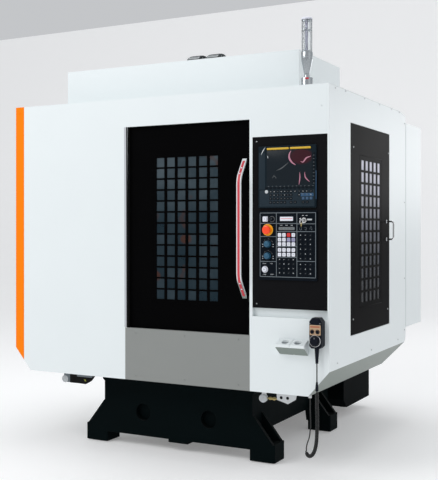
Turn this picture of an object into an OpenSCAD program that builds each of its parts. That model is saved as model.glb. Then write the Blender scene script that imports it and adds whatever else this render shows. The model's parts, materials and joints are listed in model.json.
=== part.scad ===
// Compact vertical machining center: moving table, C-frame column, full splash enclosure.
// Millimetres, X to the right, Y to the back, Z up. The origin is on the floor, midway between
// the four anchor holes of the bed.

/* [Enclosure] */
// Overall width of the splash enclosure
enc_w = 2100; // [2000:10:2300]
// Depth of the enclosure's side walls
enc_d = 1420; // [1380:10:1700]
// Height of the enclosure's lower edge above the floor
enc_bottom = 443; // [430:1:470]
// Height of the roof above the floor
enc_top = 2091; // [2000:1:2300]
// Distance from the anchor holes' centre to the front face
front_reach = 710; // [700:1:760]
// Width of the slanted lower corner
corner_w = 118; // [60:1:140]
// Height of the slanted lower corner
corner_h = 137; // [80:1:200]
// Thickness of the enclosure's sheet
sheet = 3; // [2:0.5:5]
// Depth of the folded returns round the openings
lip = 20; // [12:1:22]
// Width of the coloured trim on the left front edge
trim_w = 65; // [30:1:90]
// Width of the raised cover over the spindle motor
tier_w = 1594; // [1400:10:1700]
// Depth of the raised cover
tier_d = 653; // [620:1:680]
// Height of the raised cover
tier_h = 234; // [200:1:300]
// Setback of the raised cover from the front face
tier_back = 200; // [180:1:230]

/* [Front door] */
// Left edge of the door opening
door_x0 = -207; // [-260:1:-180]
// Right edge of the door opening
door_x1 = 588; // [560:1:592]
// Sill height of the door opening
door_z0 = 747; // [735:1:765]
// Head height of the door opening
door_z1 = 1925; // [1880:1:1935]
// Thickness of the door leaf
door_t = 30; // [24:1:34]
// Overlap of the leaf behind the opening's edges
door_lap = 12; // [8:1:15]
// Way that the door slides
door_travel = 700; // [500:10:700]
// Columns and rows of the window grid
door_grid = [6, 13];
// Pitch of the window grid
door_pitch = [70, 63.5];
// Size of one window cell
door_cell = [52, 54];
// Centre of the window grid, across and up
door_window = [178, 1330];
// Standing height of the bow handle
bow_reach = 76; // [60:1:95]
// Height of the bow handle
bow_h = 770; // [500:10:800]
// Width of the bow handle's strip
bow_w = 26; // [20:1:40]
// Thickness of the bow handle's strip
bow_t = 9; // [6:0.5:12]
// Slope of the bow handle's ends against the door
bow_slope = 35; // [20:1:45]
// Radius of the bow handle's bends
bow_r = 110; // [40:5:150]

/* [Side door] */
// Distance of the side door from the front face
side_y0 = 330; // [300:1:400]
// Width of the side door
side_w = 728; // [600:1:760]
// Lower edge of the side door
side_z0 = 733; // [700:1:800]
// Upper edge of the side door
side_z1 = 1918; // [1800:1:1950]
// Thickness of the side door
side_t = 24; // [18:1:30]
// Columns and rows of the side window grid
side_grid = [5, 12];
// Pitch of the side window grid
side_pitch = [74.5, 69.2];
// Size of one side window cell
side_cell = [50, 56];
// Radius of the hinge pins
pin_r = 5; // [4:0.5:6]

/* [Controls] */
// Left edge of the control plate
plate_x0 = 606; // [600:1:640]
// Width of the control plate
plate_w = 434; // [420:1:440]
// Lower and upper edge of the control plate
plate_z = [900, 1827];
// Height of the recessed band under the plate
band_h = 47; // [20:1:60]
// Size of the numeric control's bezel
cnc_size = [335, 333];
// Centre of the numeric control's bezel
cnc_at = [813, 1607];
// Size of the operator panel
op_size = [336, 372];
// Centre of the operator panel
op_at = [816, 1240];
// Standing height of the units in front of the plate
unit_rise = 8; // [4:1:14]
// Pitch of the membrane keys
key_pitch = 26; // [22:1:28]
// Size of one membrane key
key_size = 19; // [12:1:20]
// Radius of the emergency stop's head
estop_r = 24; // [18:1:28]

/* [Pendant] */
// Width, depth and height of the handwheel pendant
pendant = [68, 56, 160];
// Centre line of the pendant across the front
pendant_x = 992; // [960:1:1000]
// Lower edge of the pendant
pendant_z = 706; // [690:1:720]
// Radius of the pendant's handwheel
wheel_r = 25; // [20:1:28]
// Diameter of the cord
cord_d = 6.5; // [6:0.5:10]
// Outer diameter of the cord's coiled stretch
curl_d = 21; // [16:0.5:26]

/* [Machine] */
// Width of the bed's body
bed_w = 1020; // [960:10:1100]
// Height of the bed's top
bed_top = 560; // [540:1:600]
// Wall of the bed casting
bed_wall = 26; // [18:1:40]
// Width over the feet
feet_w = 1296; // [1260:1:1320]
// Depth of each foot
foot_d = 140; // [120:1:160]
// Height of the feet's underside above the floor
foot_lift = 30; // [20:1:45]
// Spacing of the anchor holes, across and deep
anchors = [1204, 900];
// Radius of the anchor holes
anchor_r = 9; // [7:0.5:11]
// Diameter of the levelling bolts
bolt_d = 20; // [16:1:24]
// Distance of a levelling bolt inboard of its anchor hole
level_in = 62; // [55:1:66]
// Width of a linear rail
rail_w = 35; // [25:1:45]
// Height of a linear rail
rail_h = 28; // [24:1:34]
// Width, depth and height of the table
table = [850, 410, 95];
// Width of a T-slot
slot_w = 14; // [10:1:18]
// Pitch of the T-slots
slot_pitch = 125; // [80:1:140]
// Travel to each side of the table, across
travel_x = 350; // [300:10:350]
// Travel to each side of the saddle, in depth
travel_y = 200; // [150:10:200]
// Travel of the head, down from its top
travel_z = 300; // [250:10:330]
// Distance from the spindle axis to the front face
throat_front = 620; // [610:1:640]
// Distance from the table to the spindle nose at the top
daylight = 480; // [460:1:520]
// Radius of the Y and Z ball screws
screw_r = 16; // [12.5:0.5:18]
// Radius of the X ball screw
screw_x_r = 12.5; // [10:0.5:14]
// Width and depth of the column
column = [680, 340];
// Height of the column's top
column_top = 2200; // [2150:10:2300]
// Tools in the drum
tools = 14; // [10:1:16]
// Radius of the drum's tool circle
drum_r = 200; // [190:1:210]
// Way that the drum's carriage slides to the spindle
drum_travel = 320; // [300:10:330]

/* [Back] */
// Width, depth and height of the electrical cabinet
cabinet = [1500, 374, 1352];
// Lower edge of the electrical cabinet
cabinet_z = 675; // [660:1:700]
// Width of the cabinet's door
cabinet_door_w = 1050; // [800:10:1100]
// Width, depth and height of the coolant tank
tank = [1200, 552, 290];
// Height of the tank's underside
tank_z = 80; // [60:1:100]

/* [Fits] */
// Gap between a leaf and its frame
gap = 3; // [2:0.5:5]
// Radial clearance of a turning shaft
bore_fit = 0.05; // [0.03:0.01:0.08]
// Clearance between sliding faces
slide_fit = 0.4; // [0.3:0.1:0.8]
// Gap between parts that only stand beside one another
seam = 0.5; // [0.3:0.1:1]

/* [Hidden] */
$fn = 48;
front = -front_reach;
side = enc_w / 2;
back = front + enc_d;
roof_y = back - 128;
roof_drop = 21;
inner = front + sheet;
band_y = front + 24;
leaf_y = front + lip + 6;
leaf_x0 = door_x0 - 33;
leaf_x1 = door_x1 + door_lap;
leaf_z0 = door_z0 - door_lap;
leaf_z1 = door_z1 + door_lap;
sill_x0 = door_x0 - 16;
sill_x1 = door_x1 + 1;
spindle_y = front + throat_front;
pad_h = 15;
rail_x = 220;
saddle_z0 = bed_top + pad_h + rail_h + 12;
saddle_t = 100;
saddle_l = 2 * (travel_x + 170);
saddle_d = 380;
saddle_top = saddle_z0 + saddle_t;
table_z0 = saddle_top + rail_h + 12;
table_top = table_z0 + table[2];
rail_y = 130;
screw_y_z = bed_top + 30;
screw_x_z = saddle_top - 10;
nose_z = table_top + daylight;
column_y = spindle_y + 440;
arch = [550, 240];
head_back = column_y - rail_h - 12;
head_z0 = nose_z + 90;
head_z1 = head_z0 + 430;
rail_z0 = head_z0 + 20 - travel_z;
screw_z0 = rail_z0 + 54;
trough = [100, 62];
screw_z_y = column_y + 12;
cover_t = 2;
cover_top = saddle_z0 + 40;
cover_x = 266;
cover_step = cover_t + slide_fit;
cover_l = travel_y + 15;
cover_z0 = bed_top + 25;
drum_x = -(drum_r + drum_travel);
shoe_x = drum_x - 282;
beam_y = spindle_y + 285;
beam_z = nose_z + 100;
gauge_z = nose_z - 58;
drum_z = gauge_z - 37;
cabinet_y = back + 10;
cabinet_x0 = side - cabinet[0];
hinge_off = 10;
hinge_strip = 18;
hinge_x = side - hinge_strip - 1;
knuckle_r = 9;
knuckle_h = 25;
eye_h = 20;
pin_h = eye_h + 1 + knuckle_h;
pivot_in = 7;
pivot_edge = 12;
pivot_x = side - pivot_in;
pivot_y = front + side_y0 + gap + pivot_edge;
stop_x = side - side_t - 8;
plate_h = 14;
plate_r = 36;
foot_top = 108;
foot_skirt = 6;
foot_wall = 10;
foot_rib = 22;
foot_x = 490;
rail_zx = 150;
case_r = 130;
motor_r = 95;
door_back = 20;
wheel_x = 435;
switch_r = 14;
switch_at = [side - cabinet_door_w + 120, 1480];
chain_r = 87;
chain_h = 30;
chain_w = 95;
link_l = 38;
chain_top = 2415;
handle_x = door_x1 - 42;
estop_at = [702, 1323];
feed_at = [702, 1247];
speed_at = [702, 1183];
mode_at = [913, 1374];
start_at = [685, 1110];
power_at = [[687, 1381], [726, 1381]];
lamp_at = [884, front + 100];
gland_at = [side - 132, front + 60];

// The cord hangs from the pendant, its coiled stretch turns up in one loop, and its plain end
// rises to the gland under the enclosure
cord_lead = [[992, -738, 626], [992, -738, 580], [992, -738, 527]];
cord_coil = [[992, -738, 527], [992, -738, 460], [992, -738, 390], [993, -738, 320], [992, -738, 265],
    [989, -737, 218], [981, -734, 180], [968, -730, 151], [951, -725, 135], [935, -719, 135],
    [925, -713, 144], [922, -711, 154], [922, -711, 162]];
cord_return = [[922, -711, 162], [922, -711, 174], [924, -704, 194], [930, -690, 224], [930, -676, 264],
    [925, -661, 310], [919, -652, 360], [918, -650, 395], [918, -650, 425]];

white = [0.90, 0.93, 0.93];
black = [0.06, 0.06, 0.07];
iron = [0.10, 0.13, 0.15];
steel = [0.72, 0.74, 0.76];
grey = [0.54, 0.55, 0.54];

// ---------- helpers ----------

function unit(v) = v / norm(v);
function left_of(v) = [-v[1], v[0]];

// Outline of a bent sheet: a line and the same line moved to its left by the thickness
function fold(line, t) =
    let (n = [for (i = [0 : len(line) - 2]) left_of(unit(line[i + 1] - line[i]))],
         last = len(line) - 1,
         moved = [for (i = [0 : last])
             i == 0 ? line[0] + t * n[0]
             : i == last ? line[last] + t * n[last - 1]
             : line[i] + t * (n[i - 1] + n[i]) / (1 + n[i - 1] * n[i])])
    concat(line, [for (i = [last : -1 : 0]) moved[i]]);

// Right half of an outline, from top to bottom, with its mirror image
function both(half) = concat(half, [for (i = [len(half) - 1 : -1 : 0]) [-half[i][0], half[i][1]]]);

// A section drawn in Y and Z, run along X
module along_x(x0, x1) {
    translate([x0, 0, 0]) rotate([90, 0, 90]) linear_extrude(x1 - x0) children();
}

// A section drawn in X and Z, run along Y
module along_y(y0, y1) {
    translate([0, y1, 0]) rotate([90, 0, 0]) linear_extrude(y1 - y0) children();
}

// A section drawn in X and Y, run along Z
module along_z(z0, z1) {
    translate([0, 0, z0]) linear_extrude(z1 - z0) children();
}

// A box between two corners
module span(a, b) {
    translate(a) cube(b - a);
}

// A rectangle between two corners, with round corners
module rounded(a, b, r) {
    translate([a[0] + r, a[1]]) square([b[0] - a[0] - 2 * r, b[1] - a[1]]);
    translate([a[0], a[1] + r]) square([b[0] - a[0], b[1] - a[1] - 2 * r]);
    for (x = [a[0] + r, b[0] - r], y = [a[1] + r, b[1] - r]) translate([x, y]) circle(r);
}

// A row of rectangles about a centre
module grid(count, pitch, cell, at) {
    for (i = [0 : count[0] - 1], j = [0 : count[1] - 1])
        translate([at[0] + (i - (count[0] - 1) / 2) * pitch[0],
                   at[1] + (j - (count[1] - 1) / 2) * pitch[1]])
            square(cell, center = true);
}

// A rod along X, Y or Z between two places
module rod_x(x0, x1, y, z, r) {
    translate([x0, y, z]) rotate([0, 90, 0]) cylinder(r = r, h = x1 - x0);
}

module rod_y(y0, y1, x, z, r) {
    translate([x, y1, z]) rotate([90, 0, 0]) cylinder(r = r, h = y1 - y0);
}

module rod_z(z0, z1, x, y, r) {
    translate([x, y, z0]) cylinder(r = r, h = z1 - z0);
}

module both_sides() {
    children();
    mirror([1, 0, 0]) children();
}

// Section of a linear rail on a flat seat, running away from the viewer
module rail_section() {
    w = rail_w / 2;
    polygon(both([[w, rail_h], [w, rail_h * 0.62], [w - 4, rail_h * 0.5], [w, rail_h * 0.36], [w, 0]]));
}

// A runner block's section: it hangs over the rail with an even clearance
module block_section(top) {
    w = rail_w / 2 + slide_fit;
    difference() {
        translate([-rail_w, rail_h * 0.3]) square([2 * rail_w, top - rail_h * 0.3]);
        polygon(both([[w, rail_h + slide_fit], [w, rail_h * 0.62], [w - 4, rail_h * 0.5],
            [w, rail_h * 0.36], [w, 0]]));
    }
}

// ---------- frame castings ----------

// A foot between two Y places: a block with a skirt round the levelling gear, and two sloping ribs
module foot(y0, y1) {
    f = feet_w / 2;
    foot_ribs(y0, y1);
    difference() {
        along_z(foot_skirt, foot_top) rounded([foot_x, y0], [f, y1], 8);
        along_z(0, foot_lift)
            rounded([foot_x + foot_wall, y0 + foot_wall], [f - foot_wall, y1 - foot_wall], 8);
    }
}

module foot_ribs(y0, y1) {
    w = bed_w / 2;
    f = feet_w / 2;
    for (y = [y0, y1 - foot_rib])
        along_y(y, y + foot_rib)
            polygon([[w - 5, 262], [w + 5, 262], [f - 12, foot_top], [f - 12, foot_top - 1],
                [w - 5, foot_top - 1]]);
}

module bed() {
    w = bed_w / 2;
    f = feet_w / 2;
    y0 = -anchors[1] / 2 - 60;
    y1 = column_y + column[1];
    color(iron) difference() {
        union() {
            difference() {
                along_y(y0, y1) polygon(both([[w + 15, bed_top], [w + 15, bed_top - 165],
                    [w, bed_top - 180], [w, 68]]));
                // hollow underneath, with two cross walls left
                for (y = [[y0 + bed_wall, -140], [-140 + bed_wall, 230], [230 + bed_wall, y1 - bed_wall]])
                    along_y(y[0], y[1]) polygon(both([[w - bed_wall, bed_top - 45],
                        [w - bed_wall, 0]]));
                // the sides rise between the feet
                along_x(-f, f) polygon([[-anchors[1] / 2 + 110, 0], [-anchors[1] / 2 + 150, 150],
                    [anchors[1] / 2 - 110, 150], [anchors[1] / 2 - 70, 0]]);
                along_x(-f, f) polygon([[anchors[1] / 2 + 70, 0], [anchors[1] / 2 + 90, 150],
                    [y1 + 1, 150], [y1 + 1, 0]]);
            }
            both_sides() {
                foot(y0, y0 + foot_d);
                foot(-y0 - foot_d, -y0);
            }
            // drain boss in the middle of the front wall
            span([-48, y0, 50], [84, y0 + 70, 90]);
            // pads for the way rails and the housings of the Y screw
            for (x = [-rail_x, rail_x])
                span([x - 30, y0 + 40, bed_top - 1], [x + 30, column_y - 18, bed_top + pad_h]);
            span([-52, y0, bed_top - 1], [52, y0 + 66, saddle_z0 - gap]);
            span([-52, column_y - 52, bed_top - 1], [52, column_y - 12, saddle_z0 - gap]);
        }
        both_sides() rod_y(y0 - 1, y0 + bed_wall + 1, 226, 213, 52);
        both_sides() rod_y(y1 - bed_wall - 1, y1 + 1, 226, 260, 52);
        both_sides() for (y = [-anchors[1] / 2, anchors[1] / 2]) {
            rod_z(0, foot_top + 96, anchors[0] / 2, y, anchor_r);
            rod_z(0, foot_top + 96, anchors[0] / 2 - level_in, y, bolt_d / 2 + seam);
        }
        rod_y(y0, column_y, 0, screw_y_z, screw_r - 4 + bore_fit);
    }
}

// Each foot stands on a plate: the levelling bolt presses on it, and the anchor bolt passes through it
module levelling_feet() {
    out = anchors[0] / 2;
    color(steel) both_sides() for (y = [-anchors[1] / 2, anchors[1] / 2]) {
        difference() {
            along_z(0, plate_h) rounded([out - level_in - plate_r, y - 42], [out + 28, y + 42], 20);
            rod_z(-1, plate_h + 1, out, y, anchor_r);
        }
        translate([out - level_in, y, 0]) {
            cylinder(r1 = plate_r, r2 = 16, h = foot_lift - 6);
            cylinder(r = bolt_d / 2, h = foot_top + 36);
            translate([0, 0, foot_lift - 14]) cylinder(r = 17, h = 14, $fn = 6);
            translate([0, 0, foot_top]) cylinder(r = 17, h = 16, $fn = 6);
        }
    }
}

module column() {
    w = column[0] / 2;
    d = column[1];
    wall = 32;
    color(iron) difference() {
        union() {
            span([-w, column_y + 6, bed_top], [w, column_y + d, column_top]);
            // pads for the Z rails
            for (x = [-rail_zx, rail_zx])
                span([x - 28, column_y, rail_z0 - 10], [x + 28, column_y + 7, column_top - 30]);
            // arm that carries the tool drum's carriage
            span([shoe_x - 90, beam_y, beam_z], [-w + 10, beam_y + 60, beam_z + 110]);
            span([-w - 60, beam_y, beam_z], [-w + 1, column_y + 120, beam_z + 110]);
        }
        // arch over the way covers
        span([-arch[0] / 2, column_y - 1, bed_top - 1],
             [arch[0] / 2, column_y + d + 1, bed_top + arch[1]]);
        // inner chamber and the trough of the Z screw
        span([-w + wall, column_y + trough[1] + wall, bed_top + arch[1] + wall],
             [w - wall, column_y + d - wall, column_top - wall]);
        span([-trough[0] / 2, column_y - 11, screw_z0 - 4],
            [trough[0] / 2, column_y + trough[1], column_top - 60]);
        for (z = [960, 1320, 1680]) rod_y(column_y + d - wall - 1, column_y + d + 1, 0, z + 200, 90);
        rod_z(screw_z0 - 64, column_top + 1, 0, screw_z_y, screw_r - 4 + bore_fit);
    }
}

module way_rails() {
    color(steel) {
        for (x = [-rail_x, rail_x])
            translate([x, 0, bed_top + pad_h])
                along_y(-anchors[1] / 2 - 12, column_y - 20) rail_section();
        for (x = [-rail_zx, rail_zx])
            translate([x, column_y, 0]) along_z(rail_z0, column_top - 40)
                rotate(180) rail_section();
    }
}

// A square servo motor with its connector box, flange at the origin, body along +Z
module servo(size, length) {
    difference() {
        translate([0, 0, length / 2]) cube([size, size, length], center = true);
        for (a = [0 : 90 : 270])
            rotate(a) translate([size / 2, size / 2, 12]) cylinder(r = 9, h = length);
    }
    translate([0, 0, length]) cylinder(r = size * 0.42, h = 10);
}

module servo_motors() {
    color(black) {
        translate([0, -anchors[1] / 2 - 60, screw_y_z]) rotate([90, 0, 0]) servo(86, 116);
        translate([0, screw_z_y, column_top]) servo(110, 150);
    }
}

// ---------- slides ----------

// A ball screw along +Z: threaded length with journals at both ends
module ball_screw(r, length, journal) {
    cylinder(r = r, h = length);
    translate([0, 0, -journal]) cylinder(r = r - 4, h = length + 2 * journal);
}

module y_screw() {
    y0 = -anchors[1] / 2 + 10;
    color(steel) translate([0, y0, screw_y_z]) rotate([-90, 0, 0])
        ball_screw(screw_r, column_y - 56 - y0, 40);
}

module x_screw() {
    color(steel) translate([-saddle_l / 2 + 30, spindle_y, screw_x_z]) rotate([0, 90, 0])
        ball_screw(screw_x_r, saddle_l - 60, 24);
}

module z_screw() {
    color(steel) translate([0, screw_z_y, screw_z0])
        ball_screw(screw_r, column_top - 64 - screw_z0, 40);
}

module saddle() {
    l = saddle_l / 2;
    y0 = spindle_y - saddle_d / 2;
    y1 = spindle_y + saddle_d / 2;
    color(iron) difference() {
        union() {
            along_y(y0, y1) polygon(both([[l, saddle_top], [l, saddle_top - 46], [l - 60, saddle_z0 + 12],
                [300, saddle_z0], [0, saddle_z0]]));
            // runner blocks on the Y rails
            for (x = [-rail_x, rail_x], y = [y0 + 20, y1 - 120])
                translate([x, 0, bed_top + pad_h])
                    along_y(y, y + 100) block_section(saddle_z0 - bed_top - pad_h + 1);
            // nut of the Y screw
            rod_y(spindle_y - 45, spindle_y + 45, 0, screw_y_z, 27);
            span([-27, spindle_y - 45, screw_y_z], [27, spindle_y + 45, saddle_z0 + 1]);
            // X motor on the right end
            translate([l, spindle_y, screw_x_z]) rotate([0, 90, 0]) servo(86, 110);
            // X rails
            for (y = [-rail_y, rail_y])
                translate([0, spindle_y + y, saddle_top - 0.01]) along_x(-l + 4, l - 4) rail_section();
        }
        span([-l + 28, spindle_y - 29, screw_x_z - 28], [l - 28, spindle_y + 29, saddle_top + 1]);
        rod_x(-l + 1, l - 1, spindle_y, screw_x_z, screw_x_r - 4 + bore_fit);
        rod_y(y0 - 1, y1 + 1, 0, screw_y_z, screw_r + bore_fit);
    }
}

// A cover over the Y ways: an inverted channel
module way_cover(half_w, top) {
    polygon(fold([[half_w, cover_z0], [half_w, top], [-half_w, top], [-half_w, cover_z0]], cover_t));
}

module saddle_covers() {
    y0 = spindle_y - saddle_d / 2;
    y1 = spindle_y + saddle_d / 2;
    color(steel) {
        along_y(y0 - cover_l, y0) way_cover(cover_x, cover_top);
        along_y(y1, y1 + 2 * travel_y + 45) way_cover(cover_x, cover_top);
    }
}

module front_way_cover() {
    y0 = spindle_y - (saddle_d + travel_y) / 2;
    color(steel) along_y(y0 - cover_l, y0) way_cover(cover_x - cover_step, cover_top - cover_step);
}

module t_slot() {
    w = slot_w / 2;
    polygon(both([[w, 1], [w, -slot_w - 2], [w + 6, -slot_w - 2], [w + 6, -slot_w - 12]]));
}

// The table's section: slotted top, ribs over the runner blocks and the nut, skirts past the saddle
module table_section() {
    h = table[1] / 2;
    skirt = saddle_d / 2 + gap;
    difference() {
        polygon(both([[h, table[2]], [h, -table_z0 + saddle_top - 20], [skirt, -table_z0 + saddle_top - 20],
            [skirt, 35], [rail_y + rail_w, 35], [rail_y + rail_w, 0], [rail_y - rail_w, 0],
            [rail_y - rail_w, 35], [28, 35], [28, 0]]));
        for (i = [-1 : 1]) translate([i * slot_pitch, table[2]]) t_slot();
    }
}

module table() {
    l = table[0] / 2;
    color(steel) difference() {
        union() {
            translate([0, spindle_y, table_z0]) along_x(-l, l) table_section();
            // runner blocks on the X rails
            for (y = [-rail_y, rail_y], x = [-150, 60])
                translate([0, spindle_y + y, saddle_top])
                    along_x(x, x + 90) block_section(table_z0 - saddle_top + 1);
            // nut of the X screw
            rod_x(-40, 40, spindle_y, screw_x_z, 23);
            span([-40, spindle_y - 23, screw_x_z], [40, spindle_y + 23, table_z0 + 1]);
        }
        rod_x(-l, l, spindle_y, screw_x_z, screw_x_r + bore_fit);
    }
}

// ---------- spindle ----------

module spindle_head() {
    y = spindle_y;
    color([0.80, 0.83, 0.84]) difference() {
        union() {
            // cast body from the spindle back to the slide
            along_z(head_z0, head_z1) union() {
                translate([0, y]) circle(case_r);
                translate([-case_r, y]) square([2 * case_r, head_back - y]);
                translate([-195, head_back - 45]) square([390, 45]);
            }
            // nose and spindle motor
            translate([0, y, nose_z]) rotate_extrude() polygon([[0, 0], [58, 0], [62, 4], [62, 60],
                [motor_r, 91], [0, 91]]);
            translate([0, y, head_z1]) {
                cylinder(r = motor_r, h = 330);
                for (i = [0 : 11]) rotate(i * 30) translate([motor_r - 2, -4, 30]) cube([9, 8, 270]);
                translate([0, 0, 330]) cylinder(r = motor_r - 15, h = 30);
            }
            span([-60, y + 60, head_z1 + 40], [60, y + 150, head_z1 + 190]);
            // runner blocks on the Z rails
            for (x = [-rail_zx, rail_zx], z = [head_z0 + 20, head_z1 - 120])
                translate([x, column_y, 0]) along_z(z, z + 100)
                    rotate(180) block_section(column_y - head_back + 1);
            // nut of the Z screw
            rod_z(head_z0 + 170, head_z0 + 260, 0, screw_z_y, 27);
            span([-27, head_back - 1, head_z0 + 170], [27, screw_z_y, head_z0 + 260]);
        }
        rod_z(nose_z - 1, head_z0 + 330, 0, y, 45 + slide_fit);
        rod_z(head_z0, head_z1, 0, screw_z_y, screw_r + bore_fit);
    }
}

module spindle() {
    color(steel) translate([0, spindle_y, nose_z + 2]) rotate_extrude()
        polygon([[16, 0], [44, 0], [45, 1], [45, 410], [0, 410], [0, 60], [9, 60], [9, 56]]);
}

module drum_carriage() {
    y = spindle_y;
    y1 = beam_y - slide_fit;
    top = beam_z + 110 + slide_fit;
    color(iron) {
        // hub with the indexing motor, arm and shoe on the column's arm
        difference() {
            union() {
                rod_z(drum_z + 30, drum_z + 130, drum_x, y, 62);
                along_z(drum_z + 105, drum_z + 140) polygon([[drum_x + 50, y - 50],
                    [drum_x + 50, y + 50], [shoe_x + 80, beam_y - 30], [shoe_x + 80, y1],
                    [shoe_x - 80, y1], [shoe_x - 80, y + 150], [drum_x - 60, y - 50]]);
                // shoe hung over the beam
                along_x(shoe_x - 80, shoe_x + 80) polygon([[y1, drum_z + 105], [y1, top],
                    [beam_y + 60 + slide_fit, top], [beam_y + 60 + slide_fit, top - 50],
                    [beam_y + 90, top - 50], [beam_y + 90, top + 25], [beam_y - 35, top + 25],
                    [beam_y - 35, drum_z + 105]]);
            }
            rod_z(drum_z, drum_z + 90, drum_x, y, 20 + bore_fit);
        }
    }
}

module tool_drum() {
    color(steel) translate([drum_x, spindle_y, drum_z]) {
        linear_extrude(14) difference() {
            union() {
                circle(drum_r - 8);
                for (i = [0 : tools - 1]) rotate(i * 360 / tools)
                    translate([drum_r - 60, -24]) square([64, 48]);
            }
            for (i = [0 : tools - 1]) rotate(i * 360 / tools) translate([drum_r, 0]) circle(20.5);
            for (i = [0 : 6]) rotate(i * 360 / 7) translate([105, 0]) circle(26);
        }
        cylinder(r = 60, h = 28);
        cylinder(r = 20, h = 88);
    }
}

// A tool holder with a short taper above and a cutter below, groove at the drum's fingers
module tool_holder(reach, cutter) {
    rotate_extrude() polygon([[0, 48], [12, 48], [15.9, 0.5], [23, 0.5], [23, -8], [20, -12],
        [20, -37], [23, -37], [23, -44], [14, -46], [14, -84], [cutter, -86], [cutter, -86 - reach],
        [0, -86 - reach - cutter]]);
}

module tool_holders() {
    color([0.80, 0.81, 0.82]) for (i = [0 : tools - 1])
        translate([drum_x, spindle_y, gauge_z]) rotate(i * 360 / tools) translate([drum_r + 1, 0, 0])
            tool_holder(30 + 12 * (i % 4), 3 + i % 5);
}

// ---------- enclosure ----------

module front_outline() {
    polygon([[-side + trim_w + seam, enc_bottom + corner_h * (corner_w - trim_w) / corner_w],
        [-side + corner_w, enc_bottom], [side - corner_w, enc_bottom], [side, enc_bottom + corner_h],
        [side, enc_top], [-side + trim_w + seam, enc_top]]);
}

module front_frame() {
    color(white) {
        difference() {
            along_y(front, inner) front_outline();
            span([door_x0, front - 1, enc_bottom + 100], [door_x1, inner + 1, door_z1]);
            span([sill_x0 - seam, front - 1, enc_bottom - 1],
                 [sill_x1 + seam, inner + 1, door_z0 + seam]);
            span([plate_x0, front - 1, plate_z[0] - band_h],
                 [plate_x0 + plate_w, inner + 1, plate_z[1]]);
        }
        // recessed band under the control plate, closed at both ends
        band_x1 = plate_x0 + plate_w;
        along_x(plate_x0, band_x1) polygon(fold([[inner, plate_z[0]], [band_y, plate_z[0]],
            [band_y, plate_z[0] - band_h], [front, plate_z[0] - band_h]], sheet));
        for (x = [plate_x0 - sheet, band_x1])
            span([x, inner - 1, plate_z[0] - band_h - sheet],
                [x + sheet, band_y + sheet, plate_z[0] + sheet]);
        // returns round the door opening
        span([door_x0 - sheet, inner - 1, door_z0 + 1], [door_x0, front + lip, door_z1 + sheet]);
        span([door_x1, inner - 1, door_z0 + 1], [door_x1 + sheet, front + lip, door_z1 + sheet]);
        span([door_x0, inner - 1, door_z1], [door_x1, front + lip, door_z1 + sheet]);
    }
}

module orange_trim() {
    color([1.0, 0.5, 0.1]) along_y(front, inner) polygon([[-side, enc_bottom + corner_h],
        [-side + trim_w, enc_bottom + corner_h * (corner_w - trim_w) / corner_w],
        [-side + trim_w, enc_top], [-side, enc_top]]);
}

module sill_panel() {
    color(grey) along_x(sill_x0, sill_x1) polygon(fold([[front + lip, enc_bottom],
        [front, enc_bottom], [front, door_z0], [front + lip, door_z0]], -sheet));
}

// The enclosure seen from the side, less the slanted roof edge and the cut lower corner at the back
module side_view() {
    top = enc_top - sheet - seam;
    polygon([[inner, enc_bottom - 1], [back - 142, enc_bottom - 1], [back - 28, enc_bottom + corner_h],
        [back, enc_bottom + corner_h + 30], [back, top - roof_drop], [roof_y, top], [inner, top]]);
}

module side_wall() {
    intersection() {
        along_y(inner, back) polygon(fold([[side - corner_w - 40, enc_bottom],
            [side - corner_w, enc_bottom], [side, enc_bottom + corner_h], [side, enc_top]], sheet));
        along_x(0, side + 1) side_view();
    }
}

// The side door's two pivots, each seen from the edge of the opening with the door below it
module pivot_ends() {
    translate([pivot_x, pivot_y, side_z1]) children();
    translate([pivot_x, pivot_y, side_z0]) mirror([0, 0, 1]) children();
}

module right_side_panel() {
    y0 = front + side_y0;
    color(white) {
        difference() {
            side_wall();
            span([side - 2 * sheet, y0, side_z0], [side + 1, y0 + side_w, side_z1]);
        }
        // stop frame behind the side door
        difference() {
            span([stop_x - 10, y0 - 22, side_z0 - 22], [stop_x, y0 + side_w + 22, side_z1 + 22]);
            span([stop_x - 11, y0 + 14, side_z0 + 14],
                 [stop_x + 1, y0 + side_w - 14, side_z1 - 14]);
        }
        for (y = [y0 - 22, y0 + side_w + 19])
            span([stop_x - 1, y, side_z0 - 22], [side - 1, y + 3, side_z1 + 22]);
        // lugs over and under the door, with the pins that it turns on
        pivot_ends() {
            span([stop_x - 1 - pivot_x, -25, 0], [pivot_in - 1, 25, 6]);
            rod_z(-gap - 20, 6, 0, 0, pin_r);
        }
    }
}

module left_side_panel() {
    color(white) mirror([1, 0, 0]) side_wall();
}

module rear_panel() {
    color(white) difference() {
        along_y(back - sheet, back) polygon(both([[side - sheet - seam, enc_top - 27 - sheet],
            [side - sheet - seam, enc_bottom + corner_h + 60], [side - 40, enc_bottom + corner_h],
            [side - corner_w - 30, enc_bottom + 20]]));
        span([-arch[0] / 2 - 8, back - sheet - 1, 0],
             [arch[0] / 2 + 8, back + 1, bed_top + arch[1]]);
        span([-bed_w / 2 - 85, back - sheet - 1, 0], [bed_w / 2 + 85, back + 1, bed_top + 6]);
    }
}

module roof_panel() {
    color(white) difference() {
        along_x(-side, side) polygon(fold([[back, enc_top - roof_drop], [roof_y, enc_top],
            [inner, enc_top]], sheet));
        // openings under the raised cover and round the column
        span([-tier_w / 2 + 30, front + tier_back + 30, enc_top - 9],
             [tier_w / 2 - 30, front + tier_back + tier_d - 30, enc_top + 1]);
        span([-column[0] / 2 - 12, column_y - 190, enc_top - 60],
             [column[0] / 2 + 12, back + 1, enc_top + 1]);
    }
}

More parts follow.
